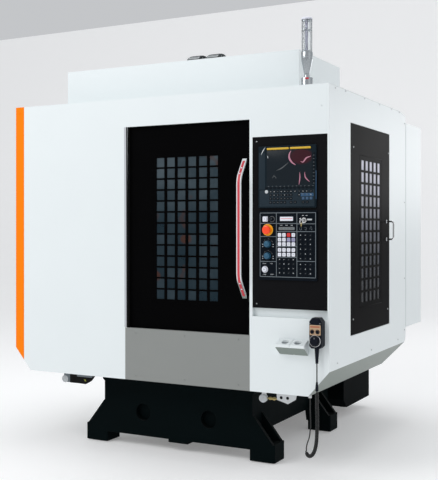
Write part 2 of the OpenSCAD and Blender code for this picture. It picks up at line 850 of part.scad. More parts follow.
module upper_cover() {
    y0 = front + tier_back;
    color(white) difference() {
        span([-tier_w / 2, y0, enc_top], [tier_w / 2, y0 + tier_d, enc_top + tier_h]);
        span([-tier_w / 2 + sheet, y0 + sheet, enc_top - 1],
             [tier_w / 2 - sheet, y0 + tier_d - sheet, enc_top + tier_h - sheet]);
        // way for the spindle motor's leads and chain
        span([-tier_w / 4, y0 + tier_d - sheet - 1, enc_top + 40],
             [tier_w / 4, y0 + tier_d + 1, enc_top + tier_h - 40]);
    }
}

module chip_pan() {
    w = bed_w / 2 + 20;
    y0 = -anchors[1] / 2 - 65;
    floor_z = enc_bottom + 9;
    lid_z = tank_z + tank[2] + 4;
    color([0.55, 0.57, 0.58]) {
        // a trough along each side, with its rim by the bed
        both_sides() {
            along_y(inner + seam, back - sheet - seam) polygon(fold([[w - 35, bed_top], [w, bed_top],
                [w, floor_z], [side - corner_w - 50, floor_z], [side - 45, enc_bottom + corner_h + 10],
                [side - 45, enc_bottom + corner_h + 120]], sheet));
            // chute from the trough onto the tank's lid
            along_x(w + 4, w + 62) polygon(fold([[back - 30, floor_z], [back + 56, lid_z],
                [back + 120, lid_z]], sheet));
        }
        // front apron and the tunnel over the Y motor
        span([-w, inner + seam, floor_z], [w, y0, floor_z + sheet]);
        difference() {
            span([-w, y0 - sheet, floor_z], [w, y0, cover_z0 - slide_fit]);
            span([-60, y0 - sheet - 1, floor_z + 60], [60, y0 + 1, cover_z0 + 1]);
        }
        along_y(front + lip, spindle_y - saddle_d / 2 - travel_y)
            way_cover(cover_x - 2 * cover_step, cover_top - 2 * cover_step);
    }
}

// Section of a door track with the mounting leg on the sheet in front of it
module track_section() {
    y = leaf_y;
    polygon(fold([[inner, 60], [inner, 12], [y + door_t + 6, 12], [y + door_t + 6, -32]], sheet));
    translate([y + 1, -32]) square([sheet, 46]);
}

module door_tracks() {
    color(steel) {
        translate([0, 0, leaf_z1 + 38]) along_x(leaf_x0 - door_travel - 5, leaf_x1 + 5)
            track_section();
        translate([0, 0, leaf_z0 - 38]) mirror([0, 0, 1])
            along_x(leaf_x0 - door_travel - 5, leaf_x1 + 5) track_section();
    }
}

// ---------- doors ----------

module front_door() {
    y = leaf_y;
    color(black) {
        difference() {
            span([leaf_x0, y, leaf_z0], [leaf_x1, y + door_t, leaf_z1]);
            // hollow back, window seat and window cells
            span([leaf_x0 + sheet, y + sheet, leaf_z0 + sheet],
                 [leaf_x1 - sheet, y + door_t + 1, leaf_z1 - sheet]);
            along_y(y - 1, y + sheet + 1) grid(door_grid, door_pitch, door_cell, door_window);
        }
        // runners in the tracks
        for (x = [leaf_x0 + 90, leaf_x1 - 170]) {
            span([x, y + sheet + 1 + slide_fit, leaf_z1 - 1], [x + 80, y + door_t - 4, leaf_z1 + 44]);
            span([x, y + sheet + 1 + slide_fit, leaf_z0 - 44], [x + 80, y + door_t - 4, leaf_z0 + 1]);
        }
    }
}

module front_door_pane() {
    w = door_grid[0] * door_pitch[0] / 2 + 20;
    h = door_grid[1] * door_pitch[1] / 2 + 20;
    color([0.12, 0.16, 0.20])
        span([door_window[0] - w, leaf_y + sheet, door_window[1] - h],
             [door_window[0] + w, leaf_y + sheet + 8, door_window[1] + h]);
}

// Section of the bow handle's upper half, Y outward from the door and Z up from its middle:
// half of the straight grip, the bend, and the end that slopes back to the door
module bow_half() {
    out = bow_reach - bow_r * (1 - cos(bow_slope));
    straight = bow_h / 2 - bow_r * sin(bow_slope) - out / tan(bow_slope);
    translate([-bow_reach, -1]) square([bow_t, straight + 1]);
    translate([bow_r - bow_reach, straight]) {
        intersection() {
            difference() {
                circle(bow_r);
                circle(bow_r - bow_t);
            }
            polygon([[0, 0], [-2 * bow_r, 0], [-2 * bow_r, 2 * bow_r * tan(bow_slope)]]);
        }
        rotate(-bow_slope) translate([-bow_r, -0.5]) square([bow_t, 2 * bow_reach]);
    }
}

module front_door_handle() {
    color([0.85, 0.86, 0.87]) translate([0, leaf_y, door_window[1]])
        along_x(handle_x - bow_w / 2, handle_x + bow_w / 2) intersection() {
            union() {
                bow_half();
                mirror([0, 1]) bow_half();
            }
            translate([-bow_reach - 1, -bow_h / 2]) square([bow_reach + 1, bow_h]);
        }
}

module side_door() {
    y0 = front + side_y0 + gap;
    y1 = y0 + side_w - 2 * gap;
    color(black) difference() {
        union() {
            difference() {
                span([side - side_t, y0, side_z0 + gap], [side, y1, side_z1 - gap]);
                span([side - side_t - 1, y0 + sheet, side_z0 + gap + sheet],
                     [side - sheet, y1 - sheet, side_z1 - gap - sheet]);
            }
            // bushes for the pivots in the two front corners
            pivot_ends()
                span([pivot_in - side_t, -pivot_edge, -gap - 28], [pivot_in - 1, pivot_edge, -gap]);
        }
        pivot_ends() rod_z(-gap - 29, 1, 0, 0, pin_r + bore_fit);
        along_x(side - sheet - 1, side + 1) side_cells();
    }
}

module side_cells() {
    grid(side_grid, side_pitch, side_cell,
        [front + side_y0 + side_w / 2 - 1, (side_z0 + side_z1) / 2 - 12]);
}

module side_door_pane() {
    y = front + side_y0 + side_w / 2 - 1;
    z = (side_z0 + side_z1) / 2 - 12;
    w = side_grid[0] * side_pitch[0] / 2 + 15;
    h = side_grid[1] * side_pitch[1] / 2 + 15;
    color([0.50, 0.53, 0.60])
        span([side - sheet - 6, y - w, z - h], [side - sheet, y + w, z + h]);
}

module side_door_handle() {
    y = front + side_y0 + side_w - 60;
    color(steel) translate([side, y, 1317]) rotate([90, 0, 0])
        for (s = [-1, 1]) half_grip(s);
}

// Half of a D handle of round bar, in its own plane: leg, bend and half of the grip
module half_grip(s) {
    translate([0, s * 55, 0]) rotate([0, 90, 0]) cylinder(r = 5, h = 31);
    translate([31, s * 41, 0]) rotate([0, 0, s > 0 ? 0 : -90])
        rotate_extrude(angle = 90) translate([14, 0]) circle(5);
    translate([45, 0, 0]) rotate([s > 0 ? -90 : 90, 0, 0]) cylinder(r = 5, h = 41);
}

// ---------- controls ----------

module control_plate() {
    color(black) difference() {
        span([plate_x0 + seam, front, plate_z[0]], [plate_x0 + plate_w - seam, inner, plate_z[1] - seam]);
        for (u = [[cnc_at, cnc_size], [op_at, op_size]])
            along_y(front - 1, inner + 1) translate(u[0]) square(u[1] - [40, 40], center = true);
    }
}

// A panel unit: bezel with round corners in front of the plate, housing through it
module panel_unit(at, size, depth) {
    along_y(front - unit_rise, front) rounded(at - size / 2, at + size / 2, 6);
    along_y(front - 0.5, front + depth)
        translate(at) square(size - [42, 42], center = true);
}

module cnc_unit() {
    color([0.12, 0.13, 0.16]) difference() {
        panel_unit(cnc_at, cnc_size, 90);
        // recess of the screen
        along_y(front - unit_rise - 1, front - unit_rise + 2)
            rounded(cnc_at + [-132, -62], cnc_at + [122, 140], 3);
    }
}

module operator_panel() {
    color(black) difference() {
        union() {
            panel_unit(op_at, op_size, 70);
            translate([estop_at[0], front - unit_rise, estop_at[1]]) rotate([90, 0, 0])
                cylinder(r = estop_r + 9, h = 3);
            translate([mode_at[0], front - unit_rise, mode_at[1]]) rotate([90, 0, 0])
                cylinder(r = 14, h = 6);
        }
        rod_y(front - 20, front + 40, estop_at[0], estop_at[1], 11 + bore_fit);
        for (p = [feed_at, speed_at]) rod_y(front - 20, front + 30, p[0], p[1], 4 + bore_fit);
        rod_y(front - 20, front + 30, mode_at[0], mode_at[1], 5 + bore_fit);
        for (p = concat([start_at], power_at)) rod_y(front - 20, front + 30, p[0], p[1], 9 + bore_fit);
    }
}

module key_block(count, pitch, size, at, base) {
    along_y(base - 2, base) grid(count, pitch, [size, size], at);
}

module panel_keys() {
    y = front - unit_rise;
    p = [key_pitch, key_pitch];
    color([0.85, 0.86, 0.90]) {
        key_block([4, 3], p, key_size, [811, 1271], y);
        key_block([4, 2], p, key_size, [811, 1203], y);
        key_block([4, 4], [key_pitch, 24], 16, [811, 1128], y);
        key_block([3, 6], p, 16, [921, 1231], y);
        key_block([3, 3], p, 16, [921, 1112], y);
        along_y(y - 2, y) translate([811, 1384]) square([70, 20], center = true);
    }
}

module estop_button() {
    y = front - unit_rise - 3 - 26;
    color([0.95, 0.28, 0.15]) translate([estop_at[0], y, estop_at[1]]) rotate([-90, 0, 0]) {
        rotate_extrude() polygon([[0, 0], [estop_r - 8, 0], [estop_r - 2, 2.5], [estop_r, 7],
            [estop_r - 2, 14], [11, 20], [0, 20]]);
        cylinder(r = 11, h = 56);
    }
}

module knob(at) {
    translate([at[0], front - unit_rise - 1, at[1]]) rotate([90, 0, 0]) {
        difference() {
            cylinder(r1 = 19, r2 = 17, h = 20);
            for (s = [-1, 1]) translate([s * 22 - 14.5, -20, 8]) cube([29, 40, 20]);
        }
        translate([0, 0, -30]) cylinder(r = 4, h = 31);
    }
}

module feed_knob() {
    color([0.12, 0.30, 0.43]) knob(feed_at);
}

module speed_knob() {
    color([0.12, 0.30, 0.43]) knob(speed_at);
}

module mode_key() {
    y = front - unit_rise - 6;
    color(steel) {
        rod_y(y - 4, y + 26, mode_at[0], mode_at[1], 5);
        along_y(y - 30, y - 3) translate(mode_at) square([3, 8], center = true);
        along_x(mode_at[0] - 1.5, mode_at[0] + 1.5)
            rounded([y - 52, mode_at[1] - 13], [y - 26, mode_at[1] + 13], 8);
    }
}

module push_button(at, r) {
    rod_y(front - unit_rise - 9, front - unit_rise - 4, at[0], at[1], r);
    rod_y(front - unit_rise - 5, front + 24, at[0], at[1], 9);
}

module start_button() {
    color([0.93, 0.93, 0.95]) push_button(start_at, 13);
}

module power_on_button() {
    color([0.93, 0.93, 0.95]) push_button(power_at[0], 12);
}

module power_off_button() {
    color([0.10, 0.10, 0.11]) push_button(power_at[1], 12);
}

module holder_shelf() {
    x0 = 768;
    x1 = 934;
    z = 742;
    color(white) difference() {
        union() {
            along_x(x0, x1) polygon(fold([[front, z - 46], [front, z], [front - 62, z - 4],
                [front - 62, z - 42]], 2));
            span([x1 - 2, front - 62, z - 30], [x1, front, z - 3]);
        }
        for (x = [x0 + 47, x1 - 47]) rod_z(z - 20, z + 20, x, front - 32, 20);
    }
}

// ---------- pendant ----------

module pendant_body() {
    w = pendant[0] / 2;
    y0 = front - pendant[1];
    z1 = pendant_z + pendant[2];
    color([0.07, 0.09, 0.13]) difference() {
        union() {
            translate([pendant_x, 0, 0]) {
                along_y(y0 + 6, front) polygon(both([[w - 16, z1], [w, z1 - 20], [w, pendant_z + 12],
                    [w - 12, pendant_z]]));
                along_y(y0, y0 + 7) polygon(both([[w - 18, z1 - 4], [w - 4, z1 - 22],
                    [w - 4, pendant_z + 14], [w - 14, pendant_z + 4]]));
            }
            // strain relief
            translate([pendant_x, front - pendant[1] / 2, 626]) cylinder(r1 = 6.5, r2 = 12, h = 81);
        }
        rod_y(y0 - 1, y0 + 24, pendant_x, pendant_z + 40, 4 + bore_fit);
        for (s = [-1, 1]) rod_y(y0 - 1, y0 + 24, pendant_x + s * 15, pendant_z + 88, 3 + bore_fit);
    }
}

module pendant_wheel() {
    y = front - pendant[1];
    color(black) translate([pendant_x, y - 1, pendant_z + 40]) rotate([90, 0, 0]) {
        difference() {
            rotate_extrude() polygon([[0, 0], [wheel_r, 0], [wheel_r, 8], [wheel_r - 2, 10], [0, 10]]);
            for (i = [0 : 23]) rotate(i * 15) translate([wheel_r + 1, 0, 2]) cylinder(r = 1.8, h = 9);
        }
        translate([0, 0, -20]) cylinder(r = 4, h = 21);
        translate([wheel_r - 9, 0, 9]) cylinder(r = 4, h = 8);
    }
}

module small_knob(side_of) {
    y = front - pendant[1];
    translate([pendant_x + side_of * 15, y - 0.8, pendant_z + 88]) rotate([90, 0, 0]) {
        cylinder(r1 = 9, r2 = 8, h = 9);
        translate([-1.5, 0, 8]) cube([3, 8, 3]);
        translate([0, 0, -20]) cylinder(r = 3, h = 21);
    }
}

module pendant_axis_knob() {
    color(black) small_knob(-1);
}

module pendant_step_knob() {
    color(black) small_knob(1);
}

// A round tube swept along points: each ring stands square to the mean of its two stretches
module tube(points, r, sides) {
    last = len(points) - 1;
    dirs = [for (i = [0 : last])
        unit((i < last ? unit(points[i + 1] - points[i]) : [0, 0, 0])
            + (i > 0 ? unit(points[i] - points[i - 1]) : [0, 0, 0]))];
    rings = [for (i = [0 : last])
        let (a = unit(cross(dirs[i], [0, 1, 0])), b = cross(dirs[i], a))
        for (k = [0 : sides - 1])
            points[i] + r * (cos(360 * k / sides) * a + sin(360 * k / sides) * b)];
    polyhedron(rings, concat([[for (k = [0 : sides - 1]) k]],
        [for (i = [0 : last - 1], k = [0 : sides - 1])
            [i * sides + (k + 1) % sides, i * sides + k, (i + 1) * sides + k,
             (i + 1) * sides + (k + 1) % sides]],
        [[for (k = [sides - 1 : -1 : 0]) last * sides + k]]));
}

module pendant_cord() {
    color(black) {
        tube(cord_lead, cord_d / 2, 10);
        tube(cord_return, cord_d / 2, 10);
    }
}

module pendant_cord_coil() {
    color(black) tube(cord_coil, curl_d / 2, 12);
}

module underside_fittings() {
    z = enc_bottom;
    color([0.75, 0.78, 0.80]) {
        rod_z(425, enc_bottom, gland_at[0], gland_at[1], 9);
        for (x = [-740, 622]) {
            rod_z(398, z + 9, x, front + 115, 14);
            rod_y(front + 96, front + 120, x, 390, 22);
        }
        // hanging brackets with tapered ends and two holes
        for (x = [-640, 707]) difference() {
            union() {
                along_y(front + 90, front + 90 + sheet) polygon([[x, z + 9], [x + 5, z - 52],
                    [x + 70, z - 70], [x + 116, z - 42], [x + 126, z + 9]]);
                span([x + 20, front + 90, z - 10], [x + 100, front + 130, z + 9]);
            }
            for (d = [30, 68]) rod_y(front + 89, front + 94, x + d, z - 38, 7);
        }
    }
}

// ---------- top and back ----------

module lamp_body() {
    color([0.80, 0.81, 0.82]) translate([lamp_at[0], lamp_at[1], enc_top]) rotate_extrude()
        polygon([[0, 0], [34, 0], [34, 6], [23, 8], [23, 62], [18, 66], [18, 74], [29, 110], [30, 116],
            [30, 190], [0, 190]]);
}

module lamp_lens() {
    color([0.88, 0.90, 0.92]) translate([lamp_at[0], lamp_at[1], enc_top + 190]) rotate_extrude()
        polygon([[0, 0], [29, 0], [29, 176], [30, 176], [30, 188], [26, 192], [0, 192]]);
}

// One link of an energy chain: X outward from the bend, Y along the chain, Z across it
module chain_link() {
    difference() {
        translate([-chain_h / 2, 4 - link_l / 2, 0]) cube([chain_h, link_l - 8, chain_w]);
        // hollow outer face between the side plates
        translate([chain_h / 2 - 3, 10 - link_l / 2, 10]) cube([4, link_l - 20, chain_w - 20]);
    }
}

// An arch of chain links on a core of leads, with its fixed end on a post on the column
module energy_chain(x) {
    arc = 7;
    leg = 5;
    core = 9;
    drop = leg * link_l + 4;
    translate([x, column_y - 60, chain_top]) rotate([90, 0, 90]) {
        for (i = [0 : arc]) rotate(i * 180 / arc) translate([chain_r, 0]) chain_link();
        for (i = [1 : leg], s = [-1, 1]) translate([s * chain_r, -i * link_l]) chain_link();
        translate([0, 0, 8]) linear_extrude(chain_w - 16) {
            difference() {
                circle(chain_r + core);
                circle(chain_r - core);
                translate([-2 * chain_r, -2 * chain_r]) square([4 * chain_r, 2 * chain_r]);
            }
            for (s = [-1, 1])
                translate([s * chain_r - core, -drop]) square([2 * core, drop + 0.01]);
        }
    }
    translate([x + 20, column_y - 72 + chain_r, column_top])
        cube([chain_w - 40, 24, chain_top - leg * link_l - column_top]);
}

module energy_chains() {
    color([0.62, 0.65, 0.67]) {
        energy_chain(-335);
        energy_chain(-190);
    }
}

module electrical_cabinet() {
    x0 = cabinet_x0;
    y1 = cabinet_y + cabinet[1] - door_back;
    z1 = cabinet_z + cabinet[2];
    split = side - cabinet_door_w;
    color(white) {
        difference() {
            span([x0, cabinet_y, cabinet_z], [side, y1, z1]);
            span([x0 + sheet, cabinet_y + sheet, cabinet_z + sheet],
                 [split - sheet, y1 - sheet, z1 - sheet]);
            span([x0 + sheet, cabinet_y + sheet, cabinet_z + sheet],
                 [side - sheet, y1 - sheet - 30, z1 - sheet]);
            span([split + 20, cabinet_y + sheet, cabinet_z + 20], [side - 20, y1 + 1, z1 - 20]);
            // louvres of the fixed back
            for (i = [0 : 9]) span([x0 + 70, y1 - sheet - 1, cabinet_z + 180 + i * 40],
                [split - 70, y1 + 1, cabinet_z + 192 + i * 40]);
        }
        for (z = [900, 1800]) span([x0 + 30, back, z], [side - 60, cabinet_y + 1, z + 40]);
        // strip beside the door, and the hinge lugs on it with their pins
        span([side - hinge_strip, y1 - 1, cabinet_z], [side, cabinet_y + cabinet[1], z1]);
        cabinet_hinges() {
            for (z = [-pin_h, eye_h + 1]) {
                rod_z(z, z + knuckle_h, 0, 0, knuckle_r);
                span([0, -hinge_off - 0.5, z], [hinge_strip - 2, 4 - hinge_off, z + knuckle_h]);
                span([0, -hinge_off - 0.5, z], [8, 0, z + knuckle_h]);
            }
            rod_z(-pin_h, pin_h, 0, 0, pin_r);
        }
    }
}

// The hinges of the cabinet's door stand behind its right edge
module cabinet_hinges() {
    for (z = [140, cabinet[2] / 2, cabinet[2] - 140])
        translate([hinge_x, cabinet_y + cabinet[1] + hinge_off, cabinet_z + z]) children();
}

module cabinet_door() {
    y0 = cabinet_y + cabinet[1] - door_back + seam;
    y1 = cabinet_y + cabinet[1];
    split = side - cabinet_door_w;
    color(white) difference() {
        union() {
            difference() {
                span([split + 2, y0, cabinet_z], [hinge_x - 1, y1, cabinet_z + cabinet[2]]);
                span([split + 2 + sheet, y0 - 1, cabinet_z + sheet],
                     [hinge_x - 1 - sheet, y1 - sheet, cabinet_z + cabinet[2] - sheet]);
            }
            cabinet_hinges() {
                rod_z(-eye_h, eye_h, 0, 0, knuckle_r);
                span([-60, -hinge_off - 0.5, -eye_h], [0, -hinge_off + 4, eye_h]);
                span([-8, -hinge_off - 0.5, -eye_h], [0, 0, eye_h]);
            }
        }
        cabinet_hinges() rod_z(-eye_h - 1, eye_h + 1, 0, 0, pin_r + bore_fit);
        rod_y(y0, y1 + 1, switch_at[0], switch_at[1], switch_r + bore_fit);
    }
}

module main_switch() {
    y = cabinet_y + cabinet[1];
    color([0.75, 0.1, 0.08]) {
        rod_y(y - 14, y + 12, switch_at[0], switch_at[1], switch_r);
        rod_y(y + seam, y + 10, switch_at[0], switch_at[1], 34);
        along_y(y + 9, y + 30) translate(switch_at) square([18, 60], center = true);
    }
}

module drive_units() {
    y = cabinet_y + sheet;
    color([0.35, 0.37, 0.40]) {
        span([side - 980, y, cabinet_z + 120], [side - 60, y + 4, cabinet_z + 1240]);
        for (i = [0 : 4]) span([side - 940 + i * 105, y + 4, cabinet_z + 760],
            [side - 845 + i * 105, y + 210, cabinet_z + 1180]);
        span([side - 390, y + 4, cabinet_z + 820], [side - 110, y + 160, cabinet_z + 1160]);
        span([side - 940, y + 4, cabinet_z + 180], [side - 640, y + 220, cabinet_z + 420]);
        for (i = [0 : 7]) span([side - 560 + i * 52, y + 4, cabinet_z + 420],
            [side - 514 + i * 52, y + 80, cabinet_z + 520]);
    }
}

module coolant_tank() {
    w = tank[0] / 2;
    y0 = back + 50;
    y1 = y0 + tank[1];
    z1 = tank_z + tank[2];
    color([0.16, 0.18, 0.20]) {
        difference() {
            union() {
                along_x(-w, w)
                    polygon([[y0, z1], [y0, tank_z + 60], [y0 + 60, tank_z], [y1, tank_z], [y1, z1]]);
                span([-w - 12, y0 - 5, z1 - 1], [w + 12, y1 + 12, z1 + 4]);
            }
            span([-w + sheet, y0 + 80, tank_z + sheet], [w - sheet, y1 - sheet, z1 - sheet]);
            // basket opening in the lid, and the inlets under the chutes
            span([-w + 120, y0 + 150, z1 - sheet - 1], [w - 420, y0 + 340, z1 + 5]);
            both_sides()
                span([bed_w / 2 + 26, y0 + 82, z1 - sheet - 1], [bed_w / 2 + 80, y0 + 140, z1 + 5]);
        }
        both_sides() for (y = [y0 + 130, y1 - 120]) {
            span([wheel_x - 25, y - 25, 50], [wheel_x + 25, y + 25, tank_z + 1]);
            rod_x(wheel_x - 15, wheel_x + 15, y, 30, 30);
        }
        // coolant pump with its outlet
        rod_z(z1 - 1, z1 + 210, w - 200, y1 - 110, 70);
        rod_z(z1 - 180, z1, w - 200, y1 - 110, 50);
        rod_z(z1 - 1, z1 + 20, w - 200, y1 - 110, 92);
    }
}

bed();
levelling_feet();
column();
way_rails();
servo_motors();
chip_pan();
front_frame();
orange_trim();
sill_panel();
right_side_panel();
left_side_panel();
rear_panel();
roof_panel();
upper_cover();
door_tracks();
control_plate();
cnc_unit();
operator_panel();
panel_keys();
holder_shelf();
pendant_body();
pendant_cord();
pendant_cord_coil();
underside_fittings();
lamp_body();
lamp_lens();
energy_chains();
electrical_cabinet();
drive_units();
coolant_tank();
y_screw();
x_screw();
z_screw();
saddle();
saddle_covers();
front_way_cover();
table();
spindle_head();
spindle();
drum_carriage();
tool_drum();
tool_holders();
front_door();
front_door_pane();
front_door_handle();
side_door();
side_door_pane();
side_door_handle();
cabinet_door();
main_switch();
estop_button();
feed_knob();
speed_knob();
mode_key();
start_button();
power_on_button();
power_off_button();
pendant_wheel();
pendant_axis_knob();
pendant_step_knob();
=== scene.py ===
"""Looks of a compact vertical machining center: finishes for its built parts, and the fine pieces on them.

Everything is in metres, in the frame of the built model: X to the right, Y to the back, Z up, with the
origin on the floor midway between the anchor holes.
"""

import json
import math

import bpy
import numpy as np
from bpy.props import FloatProperty, FloatVectorProperty, IntProperty, PointerProperty
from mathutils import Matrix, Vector


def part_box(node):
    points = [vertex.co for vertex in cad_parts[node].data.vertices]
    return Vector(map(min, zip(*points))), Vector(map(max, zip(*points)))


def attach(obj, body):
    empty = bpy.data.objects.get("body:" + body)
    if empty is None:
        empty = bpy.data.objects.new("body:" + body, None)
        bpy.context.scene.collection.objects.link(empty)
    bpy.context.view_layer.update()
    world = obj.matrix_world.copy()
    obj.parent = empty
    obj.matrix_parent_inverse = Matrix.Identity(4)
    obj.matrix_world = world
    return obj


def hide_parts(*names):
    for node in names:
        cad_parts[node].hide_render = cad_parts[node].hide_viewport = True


bl_info = {
    "name": "Machining center looks",
    "version": (1, 0, 0),
    "blender": (4, 5, 0),
    "location": "View3D > Sidebar > Machine",
    "description": "Finishes and fine pieces for a vertical machining center",
    "category": "Object",
}

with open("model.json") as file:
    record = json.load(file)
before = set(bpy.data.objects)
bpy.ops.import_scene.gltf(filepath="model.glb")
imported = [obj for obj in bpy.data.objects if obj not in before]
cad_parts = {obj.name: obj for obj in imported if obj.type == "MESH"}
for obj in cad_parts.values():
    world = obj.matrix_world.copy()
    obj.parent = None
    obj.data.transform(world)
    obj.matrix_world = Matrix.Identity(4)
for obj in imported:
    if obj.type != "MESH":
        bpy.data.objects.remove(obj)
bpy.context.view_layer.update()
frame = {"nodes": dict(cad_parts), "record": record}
NODES = frame["nodes"]
GROUPS = {}  # the shared shader groups, by what they show
MATERIALS = {}  # the finishes, by name
MM = 0.001


# ---------- places taken from the built parts ----------


def low(node):
    """Lowest corner of a built part."""
    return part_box(node)[0]


def high(node):
    """Highest corner of a built part."""
    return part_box(node)[1]


FRONT = low("front_frame").y
SIDE = high("right_side_panel").x
PANEL = 8  # the control plate's face before the front plane, in millimetres
DISPLAY_UNIT = 9.4  # the display unit's face
KEY_ROWS = 9.8  # the face of its keyboard
PENDANT = 56  # the pendant's face
ROOF = 2091  # the roof above the floor
COVER_TOP = 2325  # the raised cover's lid above the floor


# ---------- surfaces ----------


class Skin:
    """Collects surfaces as arrays of points and faces, and makes one mesh object of them."""

    def __init__(self):
        self.points, self.faces, self.slots, self.count = [], [], [], 0

    def add(self, points, faces, slot=0):
        """Adds points and the faces that index them, with a material slot."""
        points = np.asarray(points, float).reshape(-1, 3)
        self.faces += [tuple(int(i) + self.count for i in f) for f in faces]
        self.slots += [slot] * len(faces)
        self.points.append(points)
        self.count += len(points)

    def grid(self, points, closed=True, caps=True, loop=False, slot=0):
        """A surface over rows and columns of points; columns close, and end rows are capped or join up."""
        points = np.asarray(points, float)
        rows, cols = points.shape[:2]
        i, j = np.meshgrid(np.arange(rows if loop else rows - 1), np.arange(cols if closed else cols - 1),
                           indexing="ij")
        i, j = i.ravel(), j.ravel()
        k, m = (j + 1) % cols, (i + 1) % rows
        faces = np.stack([i * cols + j, i * cols + k, m * cols + k, m * cols + j], 1).tolist()
        if caps and closed and not loop:
            faces.append(list(range(cols))[::-1])
            faces.append([(rows - 1) * cols + c for c in range(cols)])
        self.add(points, faces, slot)

    def plate(self, place, w, h, r, profile, slot=0, steps=2):
        """A plate w by h with corner radius r and the given profile, all in millimetres."""
        self.grid(slab(place, w * MM, h * MM, r * MM, np.asarray(profile) * MM, steps), slot=slot)

    def turn(self, place, profile, sides=24, slot=0):
        """A turned form whose profile of radii and heights is in millimetres."""
        self.grid(turned(place, np.asarray(profile) * MM, sides), slot=slot)

    def ring(self, place, profile, sides=32, slot=0):
        """A closed section of radii and heights, in millimetres, turned about the place's outward axis."""
        self.grid(turned(place, np.asarray(profile) * MM, sides), loop=True, slot=slot)

    def bar(self, place, start, end, width, height, slot=0):
        """A raised bar between two points of a flat place, in millimetres, with its front edges eased."""
        start, end = np.asarray(start, float), np.asarray(end, float)
        o, r, u, n = place
        mid, way = (start + end) / 2, end - start
        long = np.hypot(*way)
        way = way / long
        axis, across = way[0] * r + way[1] * u, way[0] * u - way[1] * r
        here = (o + MM * (mid[0] * r + mid[1] * u), axis, across, n)
        self.plate(here, long, width, 0.3 * min(width, long), eased(height, 0.3 * height), slot, steps=1)

    def outline(self, place, left, right, foot, head, width, height, slot=0):
        """Four raised bars along the sides of a rectangle on a flat place, in millimetres."""
        for level in (head, foot):
            self.bar(place, (left, level), (right, level), width, height, slot)
        for edge in (left, right):
            self.bar(place, (edge, foot), (edge, head), width, height, slot)

    def slats(self, place, half, levels, width, height, slot=0):
        """Level raised bars of the given half length, one at each height of a flat place, in millimetres."""
        for level in levels:
            self.bar(place, (-half, level), (half, level), width, height, slot)

    def screws(self, places, radius, slot=0):
        """Pan head screws of that radius, one at each flat place."""
        for place in places:
            self.turn(place, screw_head(radius), 12, slot)

    def strip(self, place, points, width, height, slot=0):
        """A raised strip: an arched section carried along a smooth line through points of a flat place."""
        p = np.asarray(points, float) * MM
        line = smooth_line(np.column_stack([p, np.zeros(len(p))]), 4 * MM)
        way = np.gradient(line, axis=0)
        way /= np.linalg.norm(way, axis=1)[:, None]
        ends = np.sin(np.linspace(0.25, np.pi - 0.25, len(line)))[:, None]
        x = np.array([-1, -0.7, 0, 0.7, 1, 0.8, -0.8]) * width / 2 * MM * ends
        z = np.broadcast_to(np.array([0, 0.7, 1, 0.7, 0, -0.4, -0.4]) * height * MM, x.shape)
        self.grid(placed(place, line[:, :1] + x * way[:, 1:2], line[:, 1:2] - x * way[:, :1], z), slot=slot)

    def make(self, name, finishes, body, slot=None, smooth=30.0):
        """One object of all the surfaces; edges that turn by more than smooth degrees stay sharp."""
        mesh = bpy.data.meshes.new(name)
        mesh.from_pydata(np.concatenate(self.points).tolist(), [], self.faces)
        mesh.polygons.foreach_set("material_index", self.slots)
        mesh.update()
        mesh.shade_smooth()
        mesh.set_sharp_from_angle(angle=math.radians(smooth))
        piece = bpy.data.objects.new(name, mesh)
        bpy.context.scene.collection.objects.link(piece)
        for finish_name in finishes:
            mesh.materials.append(MATERIALS[finish_name])
        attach(piece, body)
        return piece


def frame_at(origin, normal, up=(0, 0, 1)):
    """Origin and three unit axes of a flat place: right, up and outward along normal."""
    n = np.asarray(normal, float)
    n /= np.linalg.norm(n)
    right = np.cross(np.asarray(up, float), n)
    right /= np.linalg.norm(right)
    return np.asarray(origin, float), right, np.cross(n, right), n


def on_front(x, z, out=0.0):
    """A flat place facing forward: millimetres from the middle, above the floor, before the front plane."""
    return frame_at((x * MM, FRONT - out * MM, z * MM), (0, -1, 0))


def on_side(y, z, out=0.0):
    """A flat place facing right: millimetres behind the front plane, above the floor, outside the side."""
    return frame_at((SIDE + out * MM, FRONT + y * MM, z * MM), (1, 0, 0))


def on_back(x, z, out=0.0):
    """A flat place facing back: millimetres from the middle, above the floor and behind the front plane."""
    return frame_at((x * MM, FRONT + out * MM, z * MM), (0, 1, 0))


def on_top(x, y, z):
    """A flat place facing up: millimetres from the middle, behind the front plane and above the floor."""
    return frame_at((x * MM, FRONT + y * MM, z * MM), (0, 0, 1), (0, 1, 0))


def placed(place, x, y, z):
    """Points x right, y up and z outward of a flat place."""
    o, r, u, n = place
    return o + x[..., None] * r + y[..., None] * u + z[..., None] * n


def turned(place, profile, sides=32):
    """A turned form: radius and height pairs of the profile, carried round the place's outward axis."""
    r, h = np.asarray(profile, float).T
    a = np.linspace(0, 2 * np.pi, sides, endpoint=False)
    return placed(place, np.outer(r, np.cos(a)), np.outer(r, np.sin(a)), np.outer(h, np.ones(sides)))


def rounded_outline(w, h, r, steps=4):
    """A rectangle w by h with quarter circles of radius r at its corners, counter-clockwise."""
    a = np.linspace(0, np.pi / 2, steps + 1)
    corners = [(w / 2 - r, h / 2 - r, 0), (r - w / 2, h / 2 - r, 1), (r - w / 2, r - h / 2, 2),
               (w / 2 - r, r - h / 2, 3)]
    turned = [(cx, cy, a + q * np.pi / 2) for cx, cy, q in corners]
    return np.concatenate([np.stack([cx + r * np.cos(t), cy + r * np.sin(t)], 1) for cx, cy, t in turned])


def slab(place, w, h, r, profile, steps=4):
    """A plate with round corners: the profile's pairs say how far the outline is set in, and how high."""
    rings = []
    for inset, height in profile:
        o = rounded_outline(w - 2 * inset, h - 2 * inset, max(r - inset, 0.02 * MM), steps)
        rings.append(placed(place, o[:, 0], o[:, 1], np.full(len(o), height)))
    return np.array(rings)


